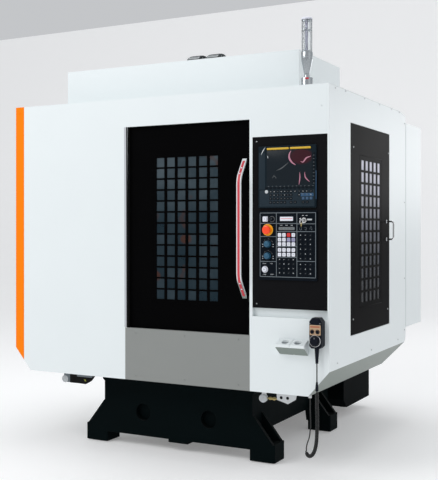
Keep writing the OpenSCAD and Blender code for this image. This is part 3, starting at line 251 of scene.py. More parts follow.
def eased(height, ease, sunk=0.4):
    """Profile of a plate of that height, sunk a little, whose front edge is rounded over in three steps."""
    return [(0, -sunk), (0, height - ease), (0.3 * ease, height - 0.3 * ease), (ease, height)]


def screw_head(r):
    """Profile of a pan head with a round socket."""
    return [(r, -0.4), (r, 0.35 * r), (0.9 * r, 0.6 * r), (0.6 * r, 0.72 * r), (0.42 * r, 0.72 * r),
            (0.38 * r, 0.2 * r)]


def smooth_line(points, step):
    """A Catmull-Rom curve through points, resampled at even steps along its length."""
    p = np.asarray(points, float)
    p = np.concatenate([[2 * p[0] - p[1]], p, [2 * p[-1] - p[-2]]])
    t = np.linspace(0, 1, 24, endpoint=False)[:, None]
    runs = [0.5 * (2 * b + (c - a) * t + (2 * a - 5 * b + 4 * c - d) * t**2 + (3 * b - a - 3 * c + d) * t**3)
            for a, b, c, d in zip(p, p[1:], p[2:], p[3:])]
    dense = np.concatenate([*runs, p[-2:-1]])
    far = np.concatenate([[0], np.cumsum(np.linalg.norm(np.diff(dense, axis=0), axis=1))])
    even = np.linspace(0, far[-1], max(2, round(far[-1] / step) + 1))
    return np.stack([np.interp(even, far, dense[:, k]) for k in range(3)], 1)


def along(path):
    """Unit tangents of a path, and two unit directions across it that turn as little as they can."""
    t = np.gradient(path, axis=0)
    t /= np.linalg.norm(t, axis=1)[:, None]
    side = np.cross(t, [0.31, 0.95, 0.05])
    side /= np.linalg.norm(side, axis=1)[:, None]
    return t, side, np.cross(t, side)


def carried(path, radius, sides=10):
    """A round tube: circles of the given radius or radii square to the path."""
    _, u, v = along(path)
    a = np.linspace(0, 2 * np.pi, sides, endpoint=False)
    r = np.broadcast_to(radius, len(path))[:, None, None]
    return path[:, None] + r * (np.cos(a)[None, :, None] * u[:, None] + np.sin(a)[None, :, None] * v[:, None])


# ---------- shader groups ----------


def group(name, inputs, outputs):
    """An empty shader group with float, colour or vector sockets, and its input and output nodes."""
    tree = bpy.data.node_groups.new(name, "ShaderNodeTree")
    kinds = {float: "NodeSocketFloat", tuple: "NodeSocketColor", Vector: "NodeSocketVector"}
    for label, default in inputs.items():
        socket = tree.interface.new_socket(name=label, in_out="INPUT", socket_type=kinds[type(default)])
        if not isinstance(default, Vector):
            socket.default_value = default
    for label, kind in outputs.items():
        tree.interface.new_socket(name=label, in_out="OUTPUT", socket_type=kinds[kind])
    return tree, tree.nodes.new("NodeGroupInput").outputs, tree.nodes.new("NodeGroupOutput").inputs


def node(tree, kind, values=(), links=(), **settings):
    """A shader node with its settings, socket values and incoming links."""
    made = tree.nodes.new(kind)
    for key, value in settings.items():
        setattr(made, key, value)
    for key, value in dict(values).items():
        made.inputs[key].default_value = value
    for key, source in dict(links).items():
        tree.links.new(source, made.inputs[key])
    return made


def maths(tree, operation, *operands):
    """The result of a Math node; its operands are sockets or numbers."""
    made = node(tree, "ShaderNodeMath", operation=operation)
    for index, operand in enumerate(operands):
        if isinstance(operand, bpy.types.NodeSocket):
            tree.links.new(operand, made.inputs[index])
        else:
            made.inputs[index].default_value = operand
    return made.outputs[0]


def ranged(tree, value, start, stop, low_end=0.0, high_end=1.0):
    """A value mapped from start to stop onto low_end to high_end, and held at the ends."""
    ends = {"From Min": start, "From Max": stop, "To Min": low_end, "To Max": high_end}
    return node(tree, "ShaderNodeMapRange", ends, {"Value": value}).outputs[0]


def blended(tree, factor, base, over):
    """A colour mix of base towards over by factor; base and over are sockets or colours."""
    made = tree.nodes.new("ShaderNodeMix")
    made.data_type = "RGBA"
    tree.links.new(factor, made.inputs[0])
    for index, source in ((6, base), (7, over)):
        if isinstance(source, tuple):
            made.inputs[index].default_value = (*source, 1)
        else:
            tree.links.new(source, made.inputs[index])
    return made.outputs[2]


def grain_group():
    """Fine grain and slow patches: noise at two scales, as a height and as a colour and roughness offset."""
    tree, given, out = group("surface_grain", {"Scale": 600.0, "Patch": 3.0, "Contrast": 0.05},
                             {"Height": float, "Shade": float})
    place = node(tree, "ShaderNodeTexCoord").outputs["Object"]
    fine = node(tree, "ShaderNodeTexNoise", {"Detail": 3.0, "Roughness": 0.6},
                {"Vector": place, "Scale": given["Scale"]})
    slow = node(tree, "ShaderNodeTexNoise", {"Detail": 4.0}, {"Vector": place, "Scale": given["Patch"]})
    centred = maths(tree, "SUBTRACT", slow.outputs["Fac"], 0.5)
    scaled = maths(tree, "MULTIPLY", centred, given["Contrast"])
    tree.links.new(fine.outputs["Fac"], out["Height"])
    tree.links.new(maths(tree, "ADD", scaled, 1.0), out["Shade"])
    return tree


def edge_group():
    """Soft edges: the normal rounded over a radius, and a mask of how far it leans from the flat one."""
    tree, given, out = group("soft_edge", {"Radius": 0.0015}, {"Normal": Vector, "Edge": float})
    bevel = node(tree, "ShaderNodeBevel", {}, {"Radius": given["Radius"]}, samples=4)
    flat = node(tree, "ShaderNodeNewGeometry")
    lean = node(tree, "ShaderNodeVectorMath", {}, {0: bevel.outputs[0], 1: flat.outputs["Normal"]},
                operation="DOT_PRODUCT")
    tree.links.new(bevel.outputs[0], out["Normal"])
    tree.links.new(ranged(tree, lean.outputs["Value"], 0.995, 0.8), out["Edge"])
    return tree


def dust_and_shade_group():
    """Two masks: dust on faces that look up, broken by noise, and painted shade on the faces that look down.
    """
    tree, given, out = group("dust_and_underside_shade", {"Amount": 0.3, "Scale": 9.0}, {"Dust": float, "Underside_shade": float})
    flat = node(tree, "ShaderNodeNewGeometry")
    up = node(tree, "ShaderNodeSeparateXYZ", {}, {"Vector": flat.outputs["Normal"]}).outputs["Z"]
    place = node(tree, "ShaderNodeTexCoord").outputs["Object"]
    noise = node(tree, "ShaderNodeTexNoise", {"Detail": 5.0}, {"Vector": place, "Scale": given["Scale"]})
    patch = ranged(tree, noise.outputs["Fac"], 0.35, 0.7)
    both = maths(tree, "MULTIPLY", patch, ranged(tree, up, 0.3, 1.0))
    tree.links.new(maths(tree, "MULTIPLY", both, given["Amount"]), out["Dust"])
    # painted shade: a mask on the faces that look down, where shade falls under things
    tree.links.new(ranged(tree, up, -0.3, -0.6), out["Underside_shade"])
    return tree


# ---------- materials ----------


def finish(name, color, rough, metal=0.0, grain=600.0, bump=0.02, patch=3.0, contrast=0.05, radius=1.2,
           edge_wear_and_highlight=0.0, edge_wear_and_highlight_color=(0.5, 0.5, 0.5), dust=0.1, coat=0.0, under=None, specular=0.5):
    """A finish with grain, slow patches, softened edges, worn edges that also carry a painted highlight,
    dust, and painted shade on faces that look down, around one Principled shader.
    """
    material = bpy.data.materials.new(name)
    material.use_nodes = True
    tree = material.node_tree
    shader = tree.nodes["Principled BSDF"]
    parts = {key: node(tree, "ShaderNodeGroup", node_tree=GROUPS[key]) for key in GROUPS}
    for key, values in {"grain": {"Scale": grain, "Patch": patch, "Contrast": contrast},
                        "edge": {"Radius": radius * MM}, "dust": {"Amount": dust}}.items():
        for label, value in values.items():
            parts[key].inputs[label].default_value = value
    grained, edged, dust_and_shade_masks = (parts[key].outputs for key in ("grain", "edge", "dust"))
    shade = node(tree, "ShaderNodeVectorMath", {0: color}, {"Scale": grained["Shade"]}, operation="SCALE")
    # edges lightened towards the wear colour: wear, and a painted highlight along the edges
    worn_and_highlit = blended(tree, maths(tree, "MULTIPLY", edged["Edge"], edge_wear_and_highlight), shade.outputs[0], edge_wear_and_highlight_color)
    shown = blended(tree, dust_and_shade_masks["Dust"], worn_and_highlit, (0.55, 0.54, 0.52))
    # painted shade: faces that look down are darkened towards the under colour
    if under:
        shown = blended(tree, dust_and_shade_masks["Underside_shade"], shown, under)
    tree.links.new(shown, shader.inputs["Base Color"])
    tree.links.new(maths(tree, "MULTIPLY", grained["Shade"], rough), shader.inputs["Roughness"])
    relief = node(tree, "ShaderNodeBump", {"Strength": 1.0, "Distance": bump * MM},
                  {"Height": grained["Height"], "Normal": edged["Normal"]})
    tree.links.new(relief.outputs[0], shader.inputs["Normal"])
    for label, value in {"Metallic": metal, "Coat Weight": coat, "Specular IOR Level": specular}.items():
        shader.inputs[label].default_value = value
    MATERIALS[name] = material
    return material


def glass(name, color, rough, ior, transmission=1.0, specular=0.5):
    """A clear or tinted pane: a plain Principled shader with fine smears in its roughness."""
    material = bpy.data.materials.new(name)
    material.use_nodes = True
    tree = material.node_tree
    shader = tree.nodes["Principled BSDF"]
    for label, value in {"Base Color": (*color, 1), "Transmission Weight": transmission, "IOR": ior,
                         "Specular IOR Level": specular}.items():
        shader.inputs[label].default_value = value
    smears = node(tree, "ShaderNodeGroup", {"Patch": 6.0, "Contrast": 1.2}, node_tree=GROUPS["grain"])
    tree.links.new(maths(tree, "MULTIPLY", smears.outputs["Shade"], rough), shader.inputs["Roughness"])
    MATERIALS[name] = material
    return material


def door_pane_finish(name):
    """The front door's pane: a dark veil with a painted reflection, paler at its head and different in each
    window.
    """
    # corner and pitch of the door's windows, across and up
    corner, pitch = (-0.178, 0.0, -1.29825), (0.070, 9.0, 0.0635)
    material = glass(name, (0.03, 0.045, 0.06), rough=0.06, ior=1.2, transmission=0.35, specular=0.1)
    tree = material.node_tree
    place = node(tree, "ShaderNodeTexCoord").outputs["Object"]
    moved = node(tree, "ShaderNodeVectorMath", {1: corner}, {0: place}, operation="ADD")
    window = node(tree, "ShaderNodeVectorMath", {1: pitch}, {0: moved.outputs[0]}, operation="SNAP")
    lot = node(tree, "ShaderNodeTexWhiteNoise", {}, {"Vector": window.outputs[0]})
    height = node(tree, "ShaderNodeSeparateXYZ", {}, {"Vector": place}).outputs["Z"]
    slow = node(tree, "ShaderNodeTexNoise", {"Scale": 5.0, "Detail": 3.0}, {"Vector": place})
    # painted reflection: paler towards the pane's head, at a different level in each window, broken by slow
    # noise
    head = ranged(tree, height, 1.35, 1.6, 0.16, 0.5)
    level = maths(tree, "MULTIPLY_ADD", lot.outputs["Value"], 0.35, head)
    mixed = maths(tree, "MULTIPLY", level, slow.outputs["Fac"])
    tint_and_reflection = blended(tree, mixed, (0.003, 0.018, 0.030), (0.19, 0.24, 0.27))
    warm = node(tree, "ShaderNodeTexNoise", {"Scale": 9.0, "Detail": 1.0}, {"Vector": place})
    patch = ranged(tree, warm.outputs["Fac"], 0.64, 0.74, 0.0, 0.7)
    shown = blended(tree, patch, tint_and_reflection, (0.11, 0.040, 0.022))
    tree.links.new(shown, tree.nodes["Principled BSDF"].inputs["Base Color"])


def side_pane_reflection_finish(name):
    """A pane with a painted reflection that goes from dark at its foot to pale lavender at its head, in steps
    broken by slow noise.
    """
    material = finish(name, (0.3, 0.3, 0.35), 0.25, grain=700, bump=0.003, contrast=0.1, radius=0.5,
                      specular=0.05)
    tree = material.node_tree
    place = node(tree, "ShaderNodeTexCoord").outputs["Object"]
    height = node(tree, "ShaderNodeSeparateXYZ", {}, {"Vector": place}).outputs["Z"]
    noise = node(tree, "ShaderNodeTexNoise", {"Scale": 3.0, "Detail": 2.0}, {"Vector": place})
    broken = maths(tree, "ADD", height, maths(tree, "MULTIPLY_ADD", noise.outputs["Fac"], 0.35, -0.17))
    ramp = node(tree, "ShaderNodeValToRGB", {}, {"Fac": ranged(tree, broken, 0.9, 1.75)})
    # painted reflection: tones from the dark foot to the pale head
    reflection_tones = [(0.0, (0.012, 0.014, 0.018)), (0.3, (0.03, 0.035, 0.045)), (0.55, (0.13, 0.135, 0.165)),
             (0.78, (0.42, 0.42, 0.5)), (1.0, (0.62, 0.62, 0.72))]
    for index, (at, tone) in enumerate(reflection_tones):
        stop = ramp.color_ramp.elements[index] if index < 2 else ramp.color_ramp.elements.new(at)
        stop.position, stop.color = at, (*tone, 1)
    tree.links.new(ramp.outputs["Color"], tree.nodes["Principled BSDF"].inputs["Base Color"])


def display_finish(name):
    """The dark display: blue-grey, with a soft dark red field in its upper right corner."""
    material = finish(name, (0.01, 0.014, 0.018), 0.16, grain=2500, bump=0.001, contrast=0.2, radius=0.3,
                      specular=0.12)
    tree = material.node_tree
    # the field is an ellipse about its centre, with these reciprocal radii
    centre, squash = (0.895, -0.718, 1.712), (16.0, 1.0, 25.0)
    place = node(tree, "ShaderNodeTexCoord").outputs["Object"]
    far = node(tree, "ShaderNodeVectorMath", {1: centre}, {0: place}, operation="SUBTRACT")
    scaled = node(tree, "ShaderNodeVectorMath", {1: squash}, {0: far.outputs[0]}, operation="MULTIPLY")
    length = node(tree, "ShaderNodeVectorMath", {}, {0: scaled.outputs[0]}, operation="LENGTH")
    field = ranged(tree, length.outputs["Value"], 1.15, 0.85)
    shown = blended(tree, field, (0.010, 0.015, 0.020), (0.045, 0.012, 0.018))
    tree.links.new(shown, tree.nodes["Principled BSDF"].inputs["Base Color"])


def build_finishes(paints):
    """Every finish on the machine; the record's material slots have the same names."""
    dull, black = 0.05, 0.005  # specular levels
    # white paint: its under colour is painted shade on the faces that look down
    finish("white_paint", paints.white, 0.4, grain=900, bump=0.012, contrast=0.03, dust=0.06,
           under=(0.20, 0.235, 0.212))
    finish("orange_paint", paints.orange, 0.4, grain=900, bump=0.012, contrast=0.03, dust=0.02,
           specular=dull)
    finish("grey_paint", paints.grey, 0.5, grain=900, bump=0.012, contrast=0.06, dust=0.1, specular=dull)
    finish("black_paint", paints.black, 0.3, grain=700, bump=0.006, contrast=0.3, dust=0.01, specular=black)
    # tank paint: a dark slate, darkened nearly to black as painted shade under the machine
    finish("tank_paint", (0.002, 0.0035, 0.004), 0.45, grain=500, bump=0.02, contrast=0.3,
           dust=0.02, specular=black)
    # cast iron: its lighter edges are wear and also a painted highlight along the ribs
    finish("cast_iron", paints.iron, 0.6, grain=260, bump=0.12, patch=5, contrast=0.5, radius=3, edge_wear_and_highlight=0.25,
           edge_wear_and_highlight_color=(0.06, 0.06, 0.06), dust=0.03, specular=0.02)
    finish("ground_steel", (0.56, 0.57, 0.59), 0.24, metal=1.0, grain=1200, bump=0.004, contrast=0.1,
           radius=0.5)
    finish("stainless", (0.5, 0.51, 0.52), 0.34, metal=1.0, grain=800, bump=0.006, contrast=0.12, dust=0.15)
    finish("chrome", (0.82, 0.82, 0.82), 0.09, metal=1.0, grain=1500, bump=0.001, contrast=0.1, radius=0.4)
    finish("zinc", (0.55, 0.57, 0.58), 0.38, metal=1.0, grain=500, bump=0.01, contrast=0.2, dust=0.1)
    finish("brass", (0.50, 0.40, 0.17), 0.3, metal=1.0, grain=900, bump=0.004, contrast=0.2, radius=0.4)
    finish("panel_black", (0.0085, 0.0085, 0.0095), 0.45, grain=1500, bump=0.02, contrast=0.1, radius=0.8,
           dust=0.01, specular=black)
    finish("membrane_dark", (0.0035, 0.006, 0.010), 0.4, grain=1800, bump=0.006, contrast=0.2,
           radius=0.5, specular=dull)
    finish("bezel_slate", (0.008, 0.015, 0.021), 0.35, grain=1600, bump=0.01, contrast=0.3,
           radius=0.8, specular=dull)
    finish("bezel_light", (0.020, 0.031, 0.041), 0.4, grain=1600, bump=0.01, contrast=0.3,
           radius=0.8, specular=dull)
    finish("key_white", (0.78, 0.80, 0.88), 0.5, grain=1500, bump=0.01, contrast=0.04, radius=0.8)
    finish("key_dark", (0.006, 0.009, 0.013), 0.45, grain=1500, bump=0.01, contrast=0.1, radius=0.6,
           specular=dull)
    finish("key_red", (0.70, 0.015, 0.012), 0.4, grain=1500, bump=0.01, contrast=0.05, radius=0.6)
    finish("key_lavender", (0.32, 0.32, 0.48), 0.5, grain=1500, bump=0.01, contrast=0.05, radius=0.6)
    finish("key_blue", (0.008, 0.062, 0.145), 0.4, grain=1500, bump=0.01, contrast=0.15, radius=0.6)
    finish("line_grey", (0.15, 0.18, 0.20), 0.5, grain=1500, bump=0.005, contrast=0.1, radius=0.3)
    # pale grey: painted shade of the front door opening's left reveal
    finish("line_pale", (0.50, 0.52, 0.55), 0.5, grain=900, bump=0.01, contrast=0.05, radius=0.3, dust=0.02)
    finish("mark_white", (0.55, 0.58, 0.60), 0.5, grain=1500, bump=0.005, contrast=0.1, radius=0.3)
    finish("mark_grey", (0.13, 0.14, 0.145), 0.5, grain=1500, bump=0.005, contrast=0.2, radius=0.3)
    finish("mark_pink", (0.50, 0.20, 0.28), 0.4, grain=900, bump=0.02, contrast=0.3, radius=0.3)
    finish("mark_yellow", (0.66, 0.40, 0.012), 0.4, grain=900, bump=0.01, contrast=0.3, radius=0.5)
    finish("mark_lime", (0.26, 0.27, 0.02), 0.5, grain=900, bump=0.01, contrast=0.3, radius=0.3)
    finish("red_plastic", (1.0, 0.062, 0.008), 0.3, grain=800, bump=0.004, contrast=0.05, coat=0.1)
    finish("stripe_red", (0.62, 0.035, 0.055), 0.4, grain=800, bump=0.006, contrast=0.06)
    finish("ring_yellow", (1.0, 0.47, 0.01), 0.35, grain=900, bump=0.008, contrast=0.05)
    finish("blue_plastic", (0.012, 0.085, 0.16), 0.35, grain=1200, bump=0.01, contrast=0.05)
    finish("knob_light", (0.05, 0.21, 0.33), 0.35, grain=1200, bump=0.01, contrast=0.05)
    finish("knob_pale", (0.55, 0.55, 0.68), 0.3, grain=1200, bump=0.006, contrast=0.05)
    finish("black_plastic", (0.003, 0.0045, 0.011), 0.4, grain=1800, bump=0.03, contrast=0.1,
           specular=0.12)
    finish("plate_beige", (0.50, 0.33, 0.20), 0.5, grain=1500, bump=0.01, contrast=0.15, radius=0.4)
    finish("plate_rust", (0.42, 0.14, 0.07), 0.5, grain=1500, bump=0.01, contrast=0.15, radius=0.4)
    finish("grey_plastic", (0.30, 0.33, 0.35), 0.5, grain=1200, bump=0.03, contrast=0.06, dust=0.2)
    finish("chain_plastic", (0.055, 0.065, 0.068), 0.45, grain=1200, bump=0.03, contrast=0.15,
           dust=0.1, specular=dull)
    # chain lids: a pale grey, lightened further as a painted highlight on the chains' tops
    finish("chain_lid", (0.36, 0.38, 0.39), 0.4, grain=1200, bump=0.03, contrast=0.1, dust=0.1)
    finish("cord_rubber", (0.008, 0.009, 0.009), 0.34, grain=900, bump=0.01, contrast=0.1, radius=0.3,
           specular=0.4)
    finish("gasket", (0.012, 0.012, 0.012), 0.7, grain=1200, bump=0.05, contrast=0.2, radius=0.3,
           specular=dull)
    finish("seam_grey", (0.22, 0.25, 0.25), 0.6, grain=900, bump=0.01, contrast=0.1, radius=0.2)
    glass("clear_lens", (0.93, 0.95, 0.96), rough=0.04, ior=1.45)
    finish("lamp_metal", (0.44, 0.47, 0.49), 0.26, metal=1.0, grain=1500, bump=0.002, contrast=0.1,
           radius=0.4)
    door_pane_finish("smoked_pane")
    side_pane_reflection_finish("side_pane")
    display_finish("display")


# ---------- the settings, and the operators ----------


class FinishSettings(bpy.types.PropertyGroup):
    """Colours of the painted and cast parts."""

    white: FloatVectorProperty(name="White", description="Paint of the enclosure", subtype="COLOR",
                               default=(0.80, 0.85, 0.86))
    orange: FloatVectorProperty(name="Orange", description="Paint of the front edge trim", subtype="COLOR",
                                default=(1.0, 0.225, 0.005))
    grey: FloatVectorProperty(name="Grey", description="Paint of the sill", subtype="COLOR",
                              default=(0.275, 0.285, 0.275))
    black: FloatVectorProperty(name="Black", description="Paint of the doors", subtype="COLOR",
                               default=(0.0022, 0.0022, 0.0024))
    # near black: the castings' dark paint, darkened further as painted shade inside the machine
    iron: FloatVectorProperty(name="Casting", description="Paint of the castings", subtype="COLOR",
                              default=(0.002, 0.0045, 0.005))


class CordSettings(bpy.types.PropertyGroup):
    """Sizes of the pendant's cord."""

    thickness: FloatProperty(name="Thickness", description="Diameter of the cord", unit="LENGTH",
                             default=0.0065)
    coil: FloatProperty(name="Coil", description="Outer diameter of the coiled stretch", unit="LENGTH",
                        default=0.021)
    pitch: FloatProperty(name="Pitch", description="Distance from one turn to the next", unit="LENGTH",
                         default=0.0068)
    sides: IntProperty(name="Sides", description="Faces round the cord", default=8, min=6)


class CameraSettings(bpy.types.PropertyGroup):
    """Place and lens of the camera, and the brightness of the studio."""

    place: FloatVectorProperty(name="Place", description="Where the camera stands", subtype="TRANSLATION",
                               default=(2.6951, -5.0644, 1.341))
    turn: FloatProperty(name="Turn", description="Turn about the vertical", subtype="ANGLE",
                        default=math.radians(27.793))
    lens: FloatProperty(name="Lens", description="Focal length on the long side, in millimetres",
                        default=66.45)
    rise: FloatProperty(name="Rise", description="Vertical shift of the picture", default=-0.0281)
    ambient: FloatProperty(name="Ambient", description="Brightness of the surroundings", default=0.58, min=0)
    glow: FloatProperty(name="Glow", description="Light that the pale floor adds", default=0.21, min=0)


class MACHINE_OT_stage(bpy.types.Operator):
    """Camera, floor, lights and surroundings"""

    bl_idname = "machine.stage"
    bl_label = "Stage"

    def execute(self, context):
        settings = context.scene.machine_camera
        data = bpy.data.cameras.new("camera")
        data.lens, data.shift_y, data.clip_end = settings.lens, settings.rise, 100
        camera = bpy.data.objects.new("camera", data)
        camera.location = settings.place
        camera.rotation_euler = (math.pi / 2, 0, settings.turn)
        context.scene.collection.objects.link(camera)
        context.scene.camera = camera
        # a floor that curves up far behind the machine
        reach, bend, rise, half_width = 9.0, 3.0, 6.0, 14.0
        a = np.linspace(0, np.pi / 2, 12)
        profile = np.concatenate([[[-reach, 0]],
                                  np.stack([reach + bend * np.sin(a), bend - bend * np.cos(a)], 1),
                                  [[reach + bend, rise]]])
        x = np.array([[-half_width, half_width]])
        points = np.stack(np.broadcast_arrays(x, profile[:, :1], profile[:, 1:]), -1)
        floor = Skin()
        floor.grid(points, closed=False, caps=False)
        mesh = bpy.data.meshes.new("floor")
        mesh.from_pydata(floor.points[0].tolist(), [], floor.faces)
        mesh.flip_normals()
        mesh.shade_smooth()
        ground = bpy.data.objects.new("floor", mesh)
        context.scene.collection.objects.link(ground)
        pale = bpy.data.materials.new("floor")
        pale.use_nodes = True
        shader = pale.node_tree.nodes["Principled BSDF"]
        for label, value in {"Base Color": (0.88, 0.88, 0.88, 1), "Roughness": 0.7, "Specular IOR Level": 0.1,
                             "Emission Color": (1, 1, 1, 1), "Emission Strength": settings.glow}.items():
            shader.inputs[label].default_value = value
        mesh.materials.append(pale)
        world = bpy.data.worlds.new("studio")
        world.use_nodes = True
        world.node_tree.nodes["Background"].inputs["Color"].default_value = (0.95, 0.97, 1.0, 1)
        world.node_tree.nodes["Background"].inputs["Strength"].default_value = settings.ambient
        context.scene.world = world
        for name, place, aim, size, power in (("key", (-2.5, -5.0, 5.0), (0, 0, 1.1), (3.5, 3.5), 150),
                                              ("fill", (5.5, -2.0, 3.4), (0.6, 0, 1.2), (3.5, 3.5), 12),
                                              ("top", (0.5, 1.0, 6.5), (0, 0, 1.0), (4.0, 4.0), 90),
                                              ("rim", (3.6, 7.0, 2.35), (1.05, 0, 1.5), (3.6, 1.6), 40)):
            light = bpy.data.lights.new(name, "AREA")
            light.shape, light.size, light.size_y, light.energy = "RECTANGLE", *size, power
            lamp = bpy.data.objects.new(name, light)
            lamp.location = place
            lamp.rotation_euler = (Vector(aim) - Vector(place)).to_track_quat("-Z", "Y").to_euler()
            context.scene.collection.objects.link(lamp)
        context.scene.view_settings.view_transform = "Standard"
        return {"FINISHED"}


class MACHINE_OT_finishes(bpy.types.Operator):
    """Shader groups, finishes, and the finish of each built part"""

    bl_idname = "machine.finishes"
    bl_label = "Finishes"

    def execute(self, context):
        GROUPS.update(grain=grain_group(), edge=edge_group(), dust=dust_and_shade_group())
        build_finishes(context.scene.machine_finish)
        # parts whose finish is finer than their slot in the record says
        finer = {"energy_chains": "chain_plastic", "side_door_pane": "side_pane",
                 "levelling_feet": "cast_iron", "operator_panel": "membrane_dark", "cnc_unit": "bezel_slate"}
        for part in frame["record"]["subparts"]:
            mesh = NODES[part["node"]].data
            mesh.materials.clear()
            mesh.materials.append(MATERIALS[finer.get(part["node"], part["material_slot"])])
        return {"FINISHED"}


class MACHINE_OT_pendant_cord(bpy.types.Operator):
    """The pendant's cord: a plain lead, a coiled stretch that turns up in one loop, and a plain return"""

    bl_idname = "machine.pendant_cord"
    bl_label = "Pendant cord"

    # the route of the built cord and the step along its plain runs, in metres
    step = 0.006
    lead = [(0.992, -0.738, 0.626), (0.992, -0.738, 0.580), (0.992, -0.738, 0.527), (0.992, -0.738, 0.482)]
    coil = [(0.992, -0.738, 0.482), (0.992, -0.738, 0.440), (0.992, -0.738, 0.390), (0.993, -0.738, 0.320),
            (0.992, -0.738, 0.265), (0.989, -0.737, 0.218), (0.981, -0.734, 0.180), (0.968, -0.730, 0.151),
            (0.951, -0.725, 0.135), (0.935, -0.719, 0.135), (0.925, -0.713, 0.144), (0.922, -0.711, 0.154),
            (0.922, -0.711, 0.162)]
    back = [(0.922, -0.711, 0.162), (0.922, -0.711, 0.174), (0.924, -0.704, 0.194), (0.930, -0.690, 0.224),
            (0.930, -0.676, 0.264), (0.925, -0.661, 0.310), (0.919, -0.652, 0.360), (0.918, -0.650, 0.395),
            (0.918, -0.650, 0.425)]

    def wound(self, core, radius, pitch):
        """A helix about the core whose radius and rate of turn swell from nothing at both ends."""
        step = pitch / 14  # a turn has fourteen points
        line = smooth_line(core, step)
        _, u, v = along(line)
        far = np.arange(len(line)) * step
        ease = np.clip(np.minimum(far, far[::-1]) / (3 * pitch), 0, 1)
        ease = ease * ease * (3 - 2 * ease)
        a = np.cumsum(ease) * step / pitch * 2 * np.pi
        return line + radius * ease[:, None] * (np.cos(a)[:, None] * u + np.sin(a)[:, None] * v)

    def execute(self, context):
        size = context.scene.machine_cord
        turn = (size.coil - size.thickness) / 2
        lead, back = smooth_line(self.lead, self.step), smooth_line(self.back, self.step)
        path = np.concatenate([lead[:-1], self.wound(self.coil, turn, size.pitch), back[1:]])
        skin = Skin()
        skin.grid(carried(path, size.thickness / 2, size.sides))
        piece = skin.make("pendant_cord_full", ("cord_rubber",), "machine", "cord_rubber", smooth=80)
        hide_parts("pendant_cord", "pendant_cord_coil")
        # the sleeve over the start of the coil swells from the lead's radius in soft ribs
        length, swell, head = 48, 4.2, (0.992, -0.738, 0.530)
        far = np.linspace(0, length, length + 1)
        radius = size.thickness / 2 / MM + 1.0 + swell * np.sin(np.clip(far / 40, 0, 1) * np.pi / 2)
        sleeve = Skin()
        sleeve.turn(frame_at(head, (0, 0, -1), (0, 1, 0)), np.stack([radius + 0.3 * np.sin(far), far], 1), 20)
        sleeve = sleeve.make("cord_sleeve", ("black_plastic",), "machine", "cord_rubber")
        return {"FINISHED"}


class MACHINE_OT_panel_lines(bpy.types.Operator):
    """Light lines that frame and divide the operator panel, and the small marks beside its controls"""

    bl_idname = "machine.panel_lines"
    bl_label = "Panel lines"

    frame_x, frame_z = (656, 977), (1071, 1414)
    posts = (752, 871)
    # heights of the level lines between two posts
    rules = {(656, 752): (1358, 1287, 1153), (752, 871): (1357, 1314, 1234, 1177),
             (871, 977): (1355, 1314, 1157)}

    def execute(self, context):
        skin, panel = Skin(), on_front(0, 0, PANEL)
        (x0, x1), (z0, z1) = self.frame_x, self.frame_z
        runs = [((x0, z), (x1, z)) for z in (z0, z1)] + [((x, z0), (x, z1)) for x in (x0, *self.posts, x1)]
        runs += [((a, z), (b, z)) for (a, b), heights in self.rules.items() for z in heights]
        for start, end in runs:
            skin.bar(panel, start, end, 3.2, 0.7)
        # short strokes in groups: over and under the start button, beside the key, and over the signal bar
        half, pitch = 1.6, 5
        for x, z, count in ((681, 1141, 4), (723, 1141, 3), (683, 1082, 4), (726, 1083, 4), (780, 1347, 3),
                            (811, 1347, 3), (841, 1347, 3)):
            for at in x + (np.arange(count) - (count - 1) / 2) * pitch:
                skin.bar(panel, (at - half, z - 2), (at + half, z + 2), 1.4, 0.4, slot=1)
                skin.bar(panel, (at - half, z + 2.4), (at + half, z + 2.4), 1.1, 0.4, slot=1)
        for x in (905, 926):
            skin.bar(panel, (x - 5, 1399), (x + 5, 1399), 3, 0.4, slot=1)
        # bar of signal lights, pale bar beside the key, and three outline figures under it
        skin.plate(on_front(812, 1330, PANEL), 94, 17, 6, eased(1.0, 0.5), slot=2)
        for x in (772, 796, 812, 828, 852):
            skin.plate(on_front(x, 1330, PANEL + 1), 9, 8, 2, eased(0.6, 0.3), slot=0)
        skin.plate(on_front(943, 1378, PANEL), 27, 8, 2, eased(0.8, 0.4), slot=1)
        for points in ([(890, 1338), (886, 1330), (890, 1322), (897, 1325), (897, 1335), (891, 1338)],
                       [(910, 1336), (924, 1336), (924, 1326), (918, 1326), (918, 1322), (928, 1322)],
                       [(944, 1322), (946, 1334), (950, 1341), (955, 1334), (956, 1322), (950, 1328),
                        (944, 1330)]):
            skin.strip(panel, points, 1.8, 0.5, slot=0)
        skin.make("panel_lines", ("line_grey", "mark_white", "mark_grey"), "machine", "panel_black")
        return {"FINISHED"}


